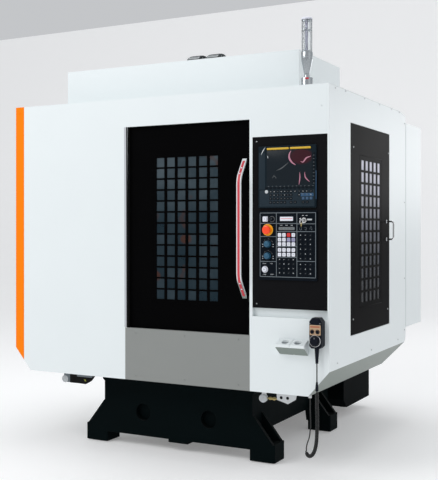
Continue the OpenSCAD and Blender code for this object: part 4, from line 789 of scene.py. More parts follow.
class MACHINE_OT_key_caps(bpy.types.Operator):
    """The panel's keys: white, red, lavender and dark caps with dished tops and small marks"""

    bl_idname = "machine.key_caps"
    bl_label = "Key caps"

    # columns and rows of the pale keys, those of the three dark blocks, and the tinted pale keys' slots
    pale_x, pale_z = (771, 797, 824, 851), (1296, 1271, 1247, 1216, 1191)
    dark = [((771, 797, 824, 851), (1165, 1141, 1117, 1093)),
            ((892, 920, 948), (1295, 1272, 1247, 1221, 1196, 1171)), ((892, 920, 948), (1140, 1116, 1092))]
    tinted = {(2, 0): 1, (2, 1): 2, (3, 1): 2}
    # a small figure on each pale cap: one bar, two bars, a ring of four or a tee
    figures = ([((-4, 0), (4, 0))], [((-4, 2), (4, 2)), ((-4, -2), (4, -2))],
               [((-3, -3), (-3, 3)), ((3, -3), (3, 3)), ((-3, 3), (3, 3)), ((-3, -3), (3, -3))],
               [((-4, 3), (4, 3)), ((0, 3), (0, -4))])

    def execute(self, context):
        skin = Skin()
        dished = [(0, -0.5), (0, 2.0), (0.5, 2.7), (1.4, 2.9), (5.5, 2.5)]
        flat = [(0, -0.5), (0, 1.2), (0.6, 1.8), (2.5, 1.7)]
        for col, x in enumerate(self.pale_x):
            for row, z in enumerate(self.pale_z):
                tint = self.tinted.get((col, row), 0)
                skin.plate(on_front(x, z, PANEL), 20, 20, 3.5, dished, tint, steps=3)
                for start, end in self.figures[(col + 2 * row) % 4]:
                    skin.bar(on_front(x, z, 10.6), start, end, 1.1, 0.3, slot=4)
        for block, (xs, zs) in enumerate(self.dark):
            for col, x in enumerate(xs):
                for row, z in enumerate(zs):
                    skin.plate(on_front(x, z, PANEL), 21, 18, 2.5, flat, 3)
                    # its figure is a dot, a cross or a slanting stroke
                    top, figure = on_front(x, z, 9.6), (3 * block + 2 * row + col) % 3
                    if figure == 0:
                        skin.plate(top, 5, 5, 1.5, eased(0.4, 0.2), slot=5, steps=1)
                    elif figure == 1:
                        skin.bar(top, (-3, 0), (3, 0), 2.0, 0.4, slot=5)
                        skin.bar(top, (0, -3), (0, 3), 1.4, 0.4, slot=4)
                    else:
                        skin.bar(top, (-3, -2), (3, 2), 1.6, 0.4, slot=4)
        # the white legend bar with its red line
        skin.plate(on_front(811, 1382, PANEL), 75, 22, 1.5, eased(1.6, 0.5), 0)
        skin.bar(on_front(811, 1383, 9.5), (-33, 0), (33, 0), 2.4, 0.3, slot=1)
        names = ("key_white", "key_red", "key_lavender", "key_dark", "mark_grey", "mark_white")
        piece = skin.make("key_caps", names, "machine", "key_white")
        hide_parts("panel_keys")
        return {"FINISHED"}


class MACHINE_OT_display_unit(bpy.types.Operator):
    """The display unit's face: bezel, sunk display, soft keys, keyboard, guard bar and film creases"""

    bl_idname = "machine.display_unit"
    bl_label = "Display unit"

    # the display's width and height, and its middle
    width, height, middle = 262, 187, (825.0, 1656.5)
    # columns of the keyboard's keys, by the height of their row
    rows = {1528: (719, 740, 761, 782, 802, 820, 838, 861, 885, 907, 928, 952),
            1509: (719, 740, 761, 782, 802, 820, 838, 885, 908, 930, 952),
            1490: (719, 740, 761, 782, 802, 820, 838, 908, 930, 952),
            1470: (719, 740, 761, 782, 802, 838, 862, 908, 930)}

    def execute(self, context):
        skin = Skin()
        w, h, middle = self.width, self.height, on_front(*self.middle, PANEL)
        # the bezel runs from its rim over the front and down to the display, which closes it
        rim = np.array([(0, -0.6), (0, 0.8), (1, 1.6)]) * MM
        rings = [slab(on_front(813, 1607, PANEL), 0.331, 0.329, 0.005, rim, 3),
                 slab(middle, (w + 6) * MM, (h + 6) * MM, 0.004, [(0, 1.6 * MM)], 3),
                 slab(middle, w * MM, h * MM, 0.003, [(0, 0.4 * MM)], 3)]
        skin.grid(np.concatenate(rings), slot=0)
        skin.plate(middle, w - 0.6, h - 0.6, 3, [(0, 0.1), (0, 0.5), (0.4, 0.6)], 1)
        # the paler fields under and beside the display, and the blue edge and block at the right
        skin.plate(on_front(812, 1492, DISPLAY_UNIT), 318, 88, 3, eased(0.6, 0.3), slot=2)
        skin.plate(on_front(980, 1560, DISPLAY_UNIT), 3.5, 150, 1.5, eased(0.6, 0.3), slot=6)
        skin.plate(on_front(668, 1640, DISPLAY_UNIT), 36, 200, 3, eased(0.4, 0.2), slot=2)
        skin.plate(on_front(929, 1509, DISPLAY_UNIT + 0.2), 74, 17, 3, eased(0.6, 0.3), slot=6)
        # soft keys beside and under the display, with pale dividers between them
        for k in range(9):
            z = 1725 - 18.3 * k
            skin.plate(on_front(967, z, DISPLAY_UNIT), 13, 12, 3, eased(1.4, 0.5), slot=3)
            skin.bar(on_front(967, z - 9.1, DISPLAY_UNIT), (-4, 0), (4, 0), 2.0, 0.5, slot=4)
        for k in range(12):
            x = 695 + 23.3 * k
            skin.plate(on_front(x, 1548, KEY_ROWS), 15, 10, 3, eased(1.4, 0.5), slot=3)
            skin.bar(on_front(x + 11.6, 1556, KEY_ROWS), (-4, -1), (4, 1), 1.8, 0.5, slot=4)
        # keyboard: caps in rows, each marked with a dash or a cross; the two middle rows end in blue caps
        for row, (z, xs) in enumerate(self.rows.items()):
            for col, x in enumerate(xs):
                cap = 6 if x > 885 and row in (1, 2) else 3
                skin.plate(on_front(x, z, KEY_ROWS), 16, 14, 2.5, eased(1.4, 0.5), slot=cap, steps=1)
                tone = 5 if (row, col % 3) in ((0, 0), (0, 1), (1, 1)) else 4
                for start, end in (((-3, 0), (3, 0)), ((0, -2.5), (0, 2.5)))[:1 + (row + col) % 2]:
                    skin.bar(on_front(x, z, 11), start, end, 2.4, 0.4, slot=tone)
        skin.turn(on_front(695, 1528, KEY_ROWS), [(9.5, -0.4), (9.5, 2), (8.5, 3), (4, 3.4)], 16, slot=5)
        # the guard bar in two runs
        for a, b in ((697, 826), (832, 951)):
            skin.plate(on_front((a + b) / 2, 1758, PANEL), b - a, 11, 4, eased(6, 2.5), slot=7, steps=3)
        # wide pink creases of the clear film that covers the display, and narrow pale ones
        display, bezel = on_front(0, 0, PANEL + 0.4), on_front(0, 0, DISPLAY_UNIT)
        for points, width in (([(838, 1744), (828, 1728), (828, 1704), (842, 1683), (864, 1667)], 11),
                              ([(951, 1712), (926, 1703), (914, 1690), (905, 1681), (892, 1686)], 8),
                              ([(887, 1629), (888, 1600), (883, 1562)], 7),
                              ([(915, 1629), (920, 1600), (943, 1577)], 7)):
            skin.strip(display, points, width, 0.7, slot=8)
        for place, points, width, tone in ((bezel, [(687, 1767), (674, 1750), (662, 1727)], 6, 5),
                                           (display, [(700, 1722), (703, 1708)], 5, 5),
                                           (display, [(752, 1640), (786, 1655), (822, 1682)], 4, 4),
                                           (display, [(728, 1600), (739, 1613), (752, 1598)], 3, 4)):
            skin.strip(place, points, width, 0.6, slot=tone)
        names = ("bezel_slate", "display", "bezel_light", "key_dark", "mark_grey", "mark_white", "key_blue",
                 "mark_yellow", "mark_pink")
        skin.make("display_face", names, "machine", "panel_black")
        return {"FINISHED"}


class MACHINE_OT_push_controls(bpy.types.Operator):
    """Rings, rims, tick marks and pointers of the panel's controls, and the spare key on the mode key"""

    bl_idname = "machine.push_controls"
    bl_label = "Push controls"

    # heights of the two knobs; place, radius or side, finish and figure of each button's cap
    knobs = {"feed_knob": 1247, "speed_knob": 1183}
    round_cap = {"start_button": (685, 1110, 13, "key_white", [((-3, 3.5), (4, 0)), ((4, 0), (-3, -3.5)),
                                                               ((-3, -3.5), (-3, 3.5))])}
    square_caps = {"power_on_button": (687, 1381, 24, "key_white", [((0, -4), (0, 4))]),
                   "power_off_button": (726, 1381, 15, "key_dark", [((-3.5, -3.5), (3.5, 3.5))])}

    def execute(self, context):
        skin = Skin()
        # yellow guard ring round the stop button, raised towards its rim
        skin.ring(on_front(702, 1323, PANEL), [(31.5, -0.4), (32, 3), (31, 5.5), (29, 6.2), (27, 5.4),
                                               (25.5, 3.4), (12, 3.4), (12, 2.4), (24, -0.4)], 48, slot=0)
        # dark skirts, tick marks and side marks of the two override knobs
        for z in self.knobs.values():
            knob = on_front(702, z, PANEL)
            skin.ring(knob, [(23, -0.4), (23, 0.6), (22, 1.2), (19.5, 1.2), (19.3, -0.4)], 40, slot=5)
            for k, angle in enumerate(np.radians(np.linspace(-25, 205, 14))):
                way = np.array([np.cos(angle), np.sin(angle)])
                skin.bar(knob, 25 * way, (29 if k % 3 else 31) * way, 1.6 if k % 3 else 2.2, 0.4, slot=1)
            for x in (-31, 31):
                for low_down in (-2, -14):
                    skin.bar(knob, (x - 3, low_down), (x + 3, low_down), 3.2, 0.4, slot=2)
        # rims of the start button, the square power-on button, the power-off button and the mode key
        skin.ring(on_front(685, 1110, PANEL),
                  [(18, -0.4), (18, 2.5), (17, 3.5), (14.5, 3.5), (13.6, 2), (13.6, -0.4)], 40, slot=3)
        outer, bore = rounded_outline(0.031, 0.029, 0.005, 7), rounded_outline(0.0252, 0.0252, 0.0125, 7)
        rings = [placed(on_front(687, 1381, PANEL), o[:, 0], o[:, 1], np.full(len(o), h * MM))
                 for o, h in ((outer, -0.4), (outer, 1.8), (0.95 * outer, 2.5), (bore, 2.5), (bore, -0.4))]
        skin.grid(rings, loop=True, slot=3)
        skin.ring(on_front(726, 1381, PANEL), [(16, -0.4), (16, 1.2), (15, 2), (13.2, 2), (12.8, -0.4)], 40,
                  slot=1)
        skin.ring(on_front(913, 1374, 14),
                  [(14.4, -6.2), (14.4, 0.4), (12.5, 1.6), (8, 1.6), (7.4, 0.6), (7.4, -1)], 32, slot=4)
        names = ("ring_yellow", "mark_grey", "mark_white", "key_white", "chrome", "membrane_dark")
        skin.make("control_rims", names, "machine", "panel_black")
        # parts that move with their controls
        out = 17
        for body, (x, z, size, tone, figure) in {**self.round_cap, **self.square_caps}.items():
            cap, face = Skin(), on_front(x, z, out)
            if body in self.round_cap:
                cap.turn(face, [(size - 0.5, -0.6), (size - 0.5, 0.8), (size - 2, 1.8), (4, 2.2)], 32)
            else:
                cap.plate(face, size, size, 4, [(0, -0.6), (0, 1), (0.8, 1.8), (4, 2)], steps=3)
            for start, end in figure:
                cap.bar(on_front(x, z, out + 1.9), start, end, 1.4, 0.4, slot=1)
            cap.make(body + "_cap", (tone, "mark_grey"), body, "key_white")
        for body, z in self.knobs.items():
            top = Skin()
            face = on_front(702, z, (FRONT - low(body).y) / MM)
            top.turn(face, [(17.5, -9), (17.5, -3.2), (16, -0.6), (13, 0.4), (6, 0.5)], 32, slot=0)
            top.bar(face, (0, 2), (0, 13), 3, 1.1, slot=1)
            top.make(body + "_top", ("blue_plastic", "knob_light"), body, "blue_plastic")
        # a ring through the bow of the mode key, and the second key that hangs from it
        key = Skin()
        hang = (low("mode_key").y - FRONT) / -MM - 14
        a = np.linspace(0, 2 * np.pi, 24, endpoint=False)
        ring = np.stack([(913 + 9 * np.sin(a)) * MM, np.full(24, FRONT - hang * MM),
                         (1366 - 9 * np.cos(a)) * MM], 1)
        key.grid(carried(ring, 0.0011, 6), loop=True, slot=0)
        blade = [(1.5, 0), (5, -1), (6.5, -5), (5, -9), (2.4, -10.5), (2.4, -19), (0.8, -21)]
        outline = np.array([(-x, z) for x, z in blade] + blade[::-1])
        place = on_front(913, 1362, hang - 2)
        rings = [placed(place, outline[:, 0] * k * MM, outline[:, 1] * k * MM, np.full(len(outline), d * MM))
                 for k, d in ((0.94, -1.3), (1, -0.9), (1, 0.9), (0.94, 1.3))]
        key.grid(rings, slot=1)
        key.make("spare_key", ("chrome", "brass"), "mode_key", "chrome", smooth=20)
        return {"FINISHED"}


class MACHINE_OT_door_dress(bpy.types.Operator):
    """The red inlay of the bow handle, raised edges round the doors' windows, and the doors' screws"""

    bl_idname = "machine.door_dress"
    bl_label = "Doors"

    def execute(self, context):
        # the inlay follows the bow: a straight run, a bend of 35 degrees and a sloping end, above and below
        reach, radius, slope, half = 76.0, 110.0, math.radians(35), 385.0
        bend = np.linspace(0, slope, 9)
        out = reach - radius * (1 - np.cos(bend))
        straight = half - radius * math.sin(slope) - out[-1] / math.tan(slope)
        rise = straight + radius * np.sin(bend)
        end = np.array([[half - 13, out[-1] - (half - 13 - rise[-1]) * math.tan(slope)]])
        upper = np.concatenate([np.stack([rise, out], 1), end])
        run = np.concatenate([upper[::-1] * [-1, 1], upper])
        way = np.gradient(run, axis=0)
        way /= np.linalg.norm(way, axis=1)[:, None]
        door, middle, x0 = low("front_door").y, 1.330, 0.546
        wide, lift = np.array([-7.5, -7.5, -6.9, 6.9, 7.5, 7.5]), np.array([-0.5, 0.3, 0.7, 0.7, 0.3, -0.5])
        rise, out = run[:, :1] - way[:, 1:] * lift, run[:, 1:] + way[:, :1] * lift
        across = np.broadcast_to(x0 + wide * MM, rise.shape)
        points = np.stack([across, door - out * MM, middle + rise * MM], -1)
        skin = Skin()
        skin.grid(points, slot=0)
        # pairs of studs on the sloping ends
        stud = [(4.6, -0.5), (4.6, 1.0), (3.8, 1.8), (2.0, 2.2)]
        for sign in (-1, 1):
            for at in (300, 332):
                depth = np.interp(at, upper[:, 0], upper[:, 1])
                normal = (0, -math.cos(slope), sign * math.sin(slope))
                place = frame_at((x0, door - depth * MM, middle + sign * at * MM), normal, (1, 0, 0))
                skin.turn(place, stud, 12, slot=1)
        skin.make("handle_inlay", ("stripe_red", "key_white"), "front_door", "white_paint")
        # front door: a raised edge round its window field, and its screws
        door_out = (FRONT - door) / MM
        dress = Skin()
        dress.outline(on_front(178, 1330, door_out), -226, 226, -429, 429, 2.2, 0.5)
        dress.screws([on_front(x, z, door_out) for x in (-190, 560) for z in (780, 1060, 1600, 1890)], 4)
        dress.make("front_door_dress", ("black_paint",), "front_door", "black_paint")
        # side door: screws by its corners, and a raised edge round its window field
        side = Skin()
        side.screws([on_side(y, z) for y, z in ((378, 1786), (373, 822), (1031, 1798), (1020, 828))], 5)
        side.outline(on_side(0, 0), 487, 899, 878, 1749, 2.2, 0.5, slot=1)
        # backplates and nuts of the pull handle
        for z in (1262, 1372):
            side.turn(on_side(998, z), [(11, -0.4), (11, 1.2), (10, 2), (6.5, 2.2), (6.5, 4), (5.6, 4.6)], 24,
                      slot=0)
        side.make("side_door_dress", ("zinc", "black_paint"), "side_door", "black_paint")
        return {"FINISHED"}


class MACHINE_OT_pendant_dress(bpy.types.Operator):
    """The pendant's plate, scales, dial rim and head, and the ribs of its strain relief"""

    bl_idname = "machine.pendant_dress"
    bl_label = "Pendant"

    # centre of the dial and of the wheel in it
    dial = (992, 746)

    def execute(self, context):
        skin, (x0, dial_z) = Skin(), self.dial
        skin.plate(on_front(x0 + 1, 803, PENDANT), 61, 53, 3, eased(1.0, 0.5), slot=0, steps=3)
        skin.plate(on_front(x0, 820, PENDANT + 0.8), 52, 9, 1.5, eased(0.8, 0.4), slot=1, steps=2)
        for x in (x0 - 15, x0 + 15):
            knob = on_front(x, 794, PENDANT + 0.8)
            skin.ring(knob, [(11.6, -0.2), (11.6, 0.7), (10, 1.0), (9.6, -0.2)], 28, slot=4)
            for angle in np.radians([20, 55, 90, 125, 160]):
                way = np.array([np.cos(angle), np.sin(angle)])
                skin.bar(knob, 12.2 * way, 14.6 * way, 1.1, 0.4, slot=4)
        dial = on_front(x0, dial_z, PENDANT)
        skin.ring(dial, [(31, -0.4), (31.3, 1.2), (30.6, 2.2), (29.7, 2.2), (29, 1.2), (28.8, -0.4)], 64,
                  slot=2)
        skin.ring(dial, [(27.9, -0.4), (27.7, 0.9), (26, 1.0), (25.8, -0.4)], 64, slot=4)
        for k, angle in enumerate(np.linspace(0, 2 * np.pi, 40, endpoint=False)):
            way = np.array([np.cos(angle), np.sin(angle)])
            width = 0.7 if k % 5 else 1.4
            skin.bar(on_front(x0, dial_z, PENDANT + 0.7), 26.1 * way, 27.9 * way, width, 0.5, slot=3)
        # the rounded block at the pendant's head, and two case screws
        skin.plate(on_front(x0, 858, 40), 34, 11, 5, eased(14, 4), slot=4, steps=4)
        for x in (x0 - 27.5, x0 + 27.5):
            skin.turn(on_front(x, 838, PENDANT), screw_head(2.0), 10, slot=2)
        names = ("plate_beige", "plate_rust", "chrome", "mark_white", "black_plastic")
        skin.make("pendant_dress", names, "machine", "black_plastic")
        # strain relief: a cone whose radius swells and shrinks in ribs along its length
        length, rib = 80, 8
        relief, along_z = Skin(), np.linspace(0, length, length + 1)
        radius = 7.4 + 5.2 * along_z / length + 0.7 * np.sin(along_z * 2 * np.pi / rib)
        place = frame_at((0.992, FRONT - 0.028, 0.6265), (0, 0, 1), (0, 1, 0))
        relief.turn(place, np.stack([radius, along_z], 1), 24)
        relief.make("strain_relief", ("black_plastic",), "machine", "black_plastic")
        # the wheel's face: a sunk disc inside a raised lip, and a light index mark
        wheel, out = Skin(), (FRONT - low("pendant_wheel").y) / MM - 7.0
        lip = on_front(x0, dial_z, out)
        wheel.ring(lip, [(23, -1.0), (23, 0.8), (22, 1.6), (20.5, 1.6), (19.5, 0.4), (19.5, -1.0)], 40,
                   slot=0)
        wheel.bar(lip, (0, 12), (0, 19), 1.8, 0.5, slot=1)
        wheel.make("wheel_face", ("black_plastic", "mark_white"), "pendant_wheel", "black_plastic")
        return {"FINISHED"}


class MACHINE_OT_shelf(bpy.types.Operator):
    """The tool holder shelf: a wedge whose top slopes to the front, pierced by two rimmed holes"""

    bl_idname = "machine.shelf"
    bl_label = "Shelf"

    depth, bore, bevel = 62.0, 20.5, 1.2
    # left and right end of each half, and the centre of its hole
    halves = ((768, 851, 815), (851, 934, 887))

    def top(self, y):
        """Height of the sloping top, in millimetres, from the distance behind the front plane."""
        return 742 + 0.4 * y

    def execute(self, context):
        skin = Skin()
        angles = np.linspace(0, 2 * np.pi, 48, endpoint=False)
        cos, sin, bore = np.cos(angles), np.sin(angles), self.bore
        y = -0.52 * self.depth
        hole_foot = self.top(y) - 18
        for x0, x1, x in self.halves:
            # the outline, met by rays from the hole's centre, is joined to the rim of a blind hole
            reach = np.minimum(np.where(cos > 0, x1 - x, x - x0) / np.maximum(np.abs(cos), 1e-6),
                               np.where(sin > 0, -y, self.depth + y) / np.maximum(np.abs(sin), 1e-6))
            rings = []
            for r, on_slope in ((reach, False), (reach - self.bevel, True), (bore + 1, True), (bore, True),
                                (bore, False)):
                px, py = x + r * cos, y + r * sin
                z = self.top(py) if on_slope else 658 - 0.72 * py
                rings.append(np.stack([px, py + FRONT / MM, z], 1) * MM)
            rings[-1][:, 2] = hole_foot * MM
            skin.grid(rings, slot=0)
            # a grey sleeve in the hole, and the hole's floor
            sleeve = [(bore, -6), (bore, 0), (bore - 1.5, 0.5), (bore - 1.5, -6)]
            skin.ring(on_top(x, y, self.top(y) - 5), sleeve, 40, slot=1)
            skin.turn(on_top(x, y, hole_foot), [(bore + 0.3, 0), (bore + 0.3, 1)], 40, slot=1)
        piece = skin.make("shelf_wedge", ("white_paint", "grey_plastic"), "machine", "white_paint")
        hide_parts("holder_shelf")
        return {"FINISHED"}


class MACHINE_OT_signal_lamp(bpy.types.Operator):
    """The signal lamp: clear outer tube, inner stack, collars and crowned cap"""

    bl_idname = "machine.signal_lamp"
    bl_label = "Signal lamp"

    # across and behind the front plane
    axis = (884, 100)

    def execute(self, context):
        x, y = self.axis
        foot = low("lamp_lens").z / MM
        at = on_top(x, y, foot)
        tube = Skin()
        # a smooth outer tube and a bore whose radius waves in twelve flutes, joined at both ends
        around = np.linspace(0, 2 * np.pi, 96, endpoint=False)
        flutes = 0.9 * np.cos(12 * around)
        sections = [(np.full(96, 29.6), 0), (np.full(96, 29.8), 178), (27 + flutes, 178), (27 + flutes, 0)]
        rows = [(r * MM, h * MM) for r, h in sections]
        tube.grid([placed(at, r * np.cos(around), r * np.sin(around), np.full(96, h)) for r, h in rows],
                  loop=True)
        piece = tube.make("lamp_tube", ("clear_lens",), "machine", "clear_lens")
        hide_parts("lamp_lens")
        # foot, thin neck and a body that widens in a long cone to the lens
        profile = [(31.4, 0), (32, 1), (32, 50), (31, 52), (16, 53), (15, 55), (15, 76), (16, 79),
                   (30.5, 145), (32, 152), (32, 189), (31.5, 190)]
        stem = Skin()
        stem.turn(on_top(x, y, ROOF), profile, 40)
        stem = stem.make("lamp_stem", ("lamp_metal",), "machine", "chrome")
        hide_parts("lamp_body")
        # inner stack: a core with three collars, and four rods round it
        stack = Skin()
        stack.turn(at, [(8, 0.2), (8, 176)], 24, slot=0)
        for level in (4, 118, 168):
            stack.ring(at, [(25.5, level), (25.5, level + 3), (24, level + 4), (12, level + 4), (12, level)],
                       32, slot=1)
        for angle in np.radians([-75, 15, 105, 195]):
            rod = on_top(x + 19 * math.cos(angle), y + 19 * math.sin(angle), foot)
            stack.turn(rod, [(3, 0.2), (3, 175)], 10, slot=0 if angle < 0 else 4)
        # crowned cap, rings at the stem's head and over its cone, and the small red plug of the foot
        crown = np.linspace(0, 1, 9)
        dome = np.stack([29.5 * np.cos(crown * np.pi / 2 * 0.96) + 0.3,
                         184 + 7.5 * np.sin(crown * np.pi / 2)], 1)
        stack.turn(at, np.concatenate([[(27.2, 174), (29.8, 175), (29.8, 184)], dome[1:]]), 32, slot=2)
        for level, r in ((2281, 31.6), (2252, 32)):
            section = [(r, -1.5), (r + 0.5, 0), (r, 1.5), (r - 2.5, 1.5), (r - 2.5, -1.5)]
            stack.ring(on_top(x, y, level), section, 36, slot=1)
        plug = frame_at(((x + 12) * MM, FRONT + (y - 29) * MM, 2137 * MM), (0.5, -0.866, 0))
        stack.plate(plug, 20, 9, 3, eased(2.5, 1), slot=3, steps=3)
        names = ("knob_pale", "lamp_metal", "key_white", "stripe_red", "grey_plastic")
        stack.make("lamp_stack", names, "machine", "chrome")
        return {"FINISHED"}


class MACHINE_OT_underside(bpy.types.Operator):
    """Small fittings under the front edge: sensor faces, a brass union, dark and pale bracket plates"""

    bl_idname = "machine.underside"
    bl_label = "Underside"

    def execute(self, context):
        skin = Skin()
        # two round sensors
        r = 22
        for x in (-737, 625):
            place = on_front(x, 390, -96)
            skin.turn(place, [(r - 0.6, -0.4), (r - 0.6, 1.2), (r - 2, 2.4)], 36, slot=0)
            skin.ring(place, [(r + 0.6, -2), (r + 0.6, 1.6), (r - 2.2, 1.8), (r - 2.4, -0.4)], 36, slot=1)
            skin.ring(place, [(r - 6, 2.2), (r - 6.3, 3.4), (r - 9, 3.4), (r - 9.2, 2.2)], 36, slot=1)
            skin.turn(place, [(7, 2.2), (7, 3.6), (5, 4.4)], 24, slot=1)
        # brass union between the right sensor and its bracket, in four stretches
        run = frame_at((0.6445, FRONT + 0.112, 0.391), (1, 0, 0))
        for sides, profile in ((16, [(4.5, 0), (4.5, 60)]), (6, [(8, 12), (9, 13), (9, 23), (8, 24)]),
                               (6, [(9, 36), (10, 37), (10, 45), (9, 46)]),
                               (16, [(6, 24), (6.6, 25), (6.6, 35), (6, 36)])):
            skin.turn(run, profile, sides, slot=2)
        # blocks behind the left sensor, and a dark plate with a grey upper strip and a yellow-green mark
        skin.plate(on_front(-722, 406, -100), 50, 71, 4, eased(4, 2), slot=5, steps=3)
        skin.plate(on_front(-668, 406, -96), 58, 71, 4, eased(5, 2), slot=3, steps=3)
        skin.turn(on_front(-668, 392, -91), [(9, -0.3), (9, 2), (7.5, 3)], 16, slot=3)
        outline = np.array([(-650, 447), (-636, 372), (-574, 370), (-530, 393), (-484, 447)])[::-1] * MM
        centre = outline.mean(0)
        rings = []
        for shrink, out in ((1.0, -90.5), (1.0, -88.6), (0.985, -88.0)):
            o = centre + (outline - centre) * shrink
            rings.append(np.stack([o[:, 0], np.full(5, FRONT - out * MM), o[:, 1]], 1))
        skin.grid(np.array(rings)[:, ::-1], slot=3)
        skin.plate(on_front(-582, 428, -88.4), 116, 30, 4, eased(1.6, 0.8), slot=5)
        skin.turn(on_front(-578, 394, -88.2), [(6, -0.2), (6, 1.0), (4.6, 1.6)], 16, slot=4)
        skin.bar(on_front(-578, 394, -87), (-9, 6), (9, -6), 3, 1.2, slot=4)
        for x in (737, 775):
            skin.turn(on_front(x, 405, -90), [(8.6, -1.5), (8.6, 0.8), (7.6, 1.2), (6.6, 0.2)], 24, slot=3)
        places = [(-622, -86.8), (-530, -86.8), (725, -90), (817, -90)]
        skin.screws([on_front(x, 432, out) for x, out in places], 5, slot=1)
        names = ("mark_white", "zinc", "brass", "gasket", "mark_lime", "line_grey")
        skin.make("underside_dress", names, "machine", "zinc")
        return {"FINISHED"}


class MACHINE_OT_chain_lids(bpy.types.Operator):
    """Pale snap lids over the energy chains' links, lightened also as a painted highlight, with the pins in
    their side plates
    """

    bl_idname = "machine.chain_lids"
    bl_label = "Energy chains"

    def execute(self, context):
        skin = Skin()
        # axis and radius of the bend, pitch of the links, width of a chain
        y, z, r, pitch, wide = 290.0, 2415.0, 87.0, 38.0, 95
        bends = [(y + r * math.cos(a), z + r * math.sin(a), a) for a in np.linspace(0, math.pi, 8)]
        legs = [(y + s * r, z - k * pitch, 0 if s > 0 else math.pi) for s in (-1, 1) for k in range(1, 6)]
        for x in (-335, -190):
            for cy, cz, a in bends + legs:
                normal = (0, math.cos(a), math.sin(a))
                centre = (x + wide / 2, cy + 15 * normal[1], cz + 15 * normal[2])
                lid = frame_at(np.array(centre) * MM, normal, (1, 0, 0))
                skin.plate(lid, 27, 84, 4, [(0, -1.5), (0, 0.8), (1, 1.6), (4, 2.0)], 0, steps=2)
                skin.bar(lid, (0, -34), (0, 34), 4, 2.8, slot=1)
                for side in (0, 1):
                    for shift in (-9, 9):
                        py, pz = cy - shift * math.sin(a), cz + shift * math.cos(a)
                        pin = frame_at(((x + wide * side) * MM, py * MM, pz * MM), (2 * side - 1, 0, 0))
                        skin.turn(pin, [(4.5, -0.4), (4.5, 0.8), (3.4, 1.4)], 10, slot=0 if shift > 0 else 1)
        skin.make("chain_lids", ("chain_lid", "chain_plastic"), "machine", "grey_plastic")
        return {"FINISHED"}


class MACHINE_OT_sheet_joints(bpy.types.Operator):
    """Seams, flanges, screws and vents of the enclosure's sheets, and the control plate's screws"""

    bl_idname = "machine.sheet_joints"
    bl_label = "Sheet joints"

    def execute(self, context):
        skin = Skin()
        # screws under the roof edge, at the foot and by the rear edge of both sides
        edge = [(90, 2076), (250, 2080), (570, 2080), (854, 2080), (1100, 2080), (1268, 2080), (1390, 2020),
                (1390, 1500), (1390, 1000), (1390, 660), (120, 612), (700, 612), (1240, 612)]
        for y, z in edge:
            skin.screws([on_side(y, z), frame_at((-SIDE, FRONT + y * MM, z * MM), (-1, 0, 0))], 4.5)
        # joint between the left side's two sheets
        skin.bar(frame_at((-SIDE, FRONT, 0), (-1, 0, 0)), (-700, 600), (-700, 2080), 3, 0.5, slot=1)
        # foot flange of the raised cover, with its screws
        w, d = 797, 653
        y0 = (low("upper_cover").y - FRONT) / MM
        skin.outline(on_top(0, 0, ROOF), -w - 9, w + 9, y0 - 9, y0 + d + 9, 18, 2.2, slot=2)
        skin.screws([on_top(x, y, ROOF + 2.1) for x in np.linspace(-740, 740, 9)
                     for y in (y0 - 10, y0 + d + 10)], 5)
        # pale grey strip painted as the shaded reveal, and rubber, at the left of the front door's opening
        skin.bar(on_front(0, 0), (-221, 748), (-225, 1926), 15, 0.5, slot=6)
        skin.bar(on_front(0, 0), (-210, 748), (-213, 1926), 9, 0.6, slot=3)
        skin.plate(frame_at((-0.207, FRONT + 0.0125, 1.336), (1, 0, 0)), 25, 1176, 1, eased(0.4, 0.2), slot=3)
        # lifting plugs and a joint across the cover's lid
        for x in (-640, 640):
            for y in (y0 + 90, y0 + d - 90):
                skin.turn(on_top(x, y, COVER_TOP), [(24, -0.4), (24, 1.5), (21, 3.5), (8, 4)], 28, slot=3)
        skin.bar(on_top(0, 0, COVER_TOP), (0, y0 + 6), (0, y0 + d - 6), 3, 0.5, slot=1)
        # control plate: small screws near its corners and edges
        skin.screws([on_front(632, 1802), on_front(632, 922)], 3.4)
        skin.screws([on_front(x, z) for x, z in ((1026, 1812), (1026, 914), (620, 1430), (1026, 1430))], 3.4,
                    slot=3)
        # screws of the sill, the white front and the orange edge
        skin.screws([on_front(x, z) for x in (-150, 180, 520) for z in (470, 720)], 3.6, slot=4)
        skin.screws([on_front(1007, 1976)], 3.6, slot=2)
        skin.screws([on_front(-1017, 2050), on_front(-1017, 640)], 3.6, slot=5)
        # louvred vents on the rear sheet above the bed
        rear = 1420
        for x in (-760, 760):
            skin.plate(on_back(x, 640, rear), 240, 90, 6, eased(2, 1), slot=2, steps=3)
            skin.slats(on_back(x, 0, rear), 100, range(610, 671, 15), 7, 6, slot=2)
        names = ("zinc", "seam_grey", "white_paint", "gasket", "grey_paint", "orange_paint", "line_pale")
        skin.make("sheet_joints", names, "machine", "white_paint")
        return {"FINISHED"}


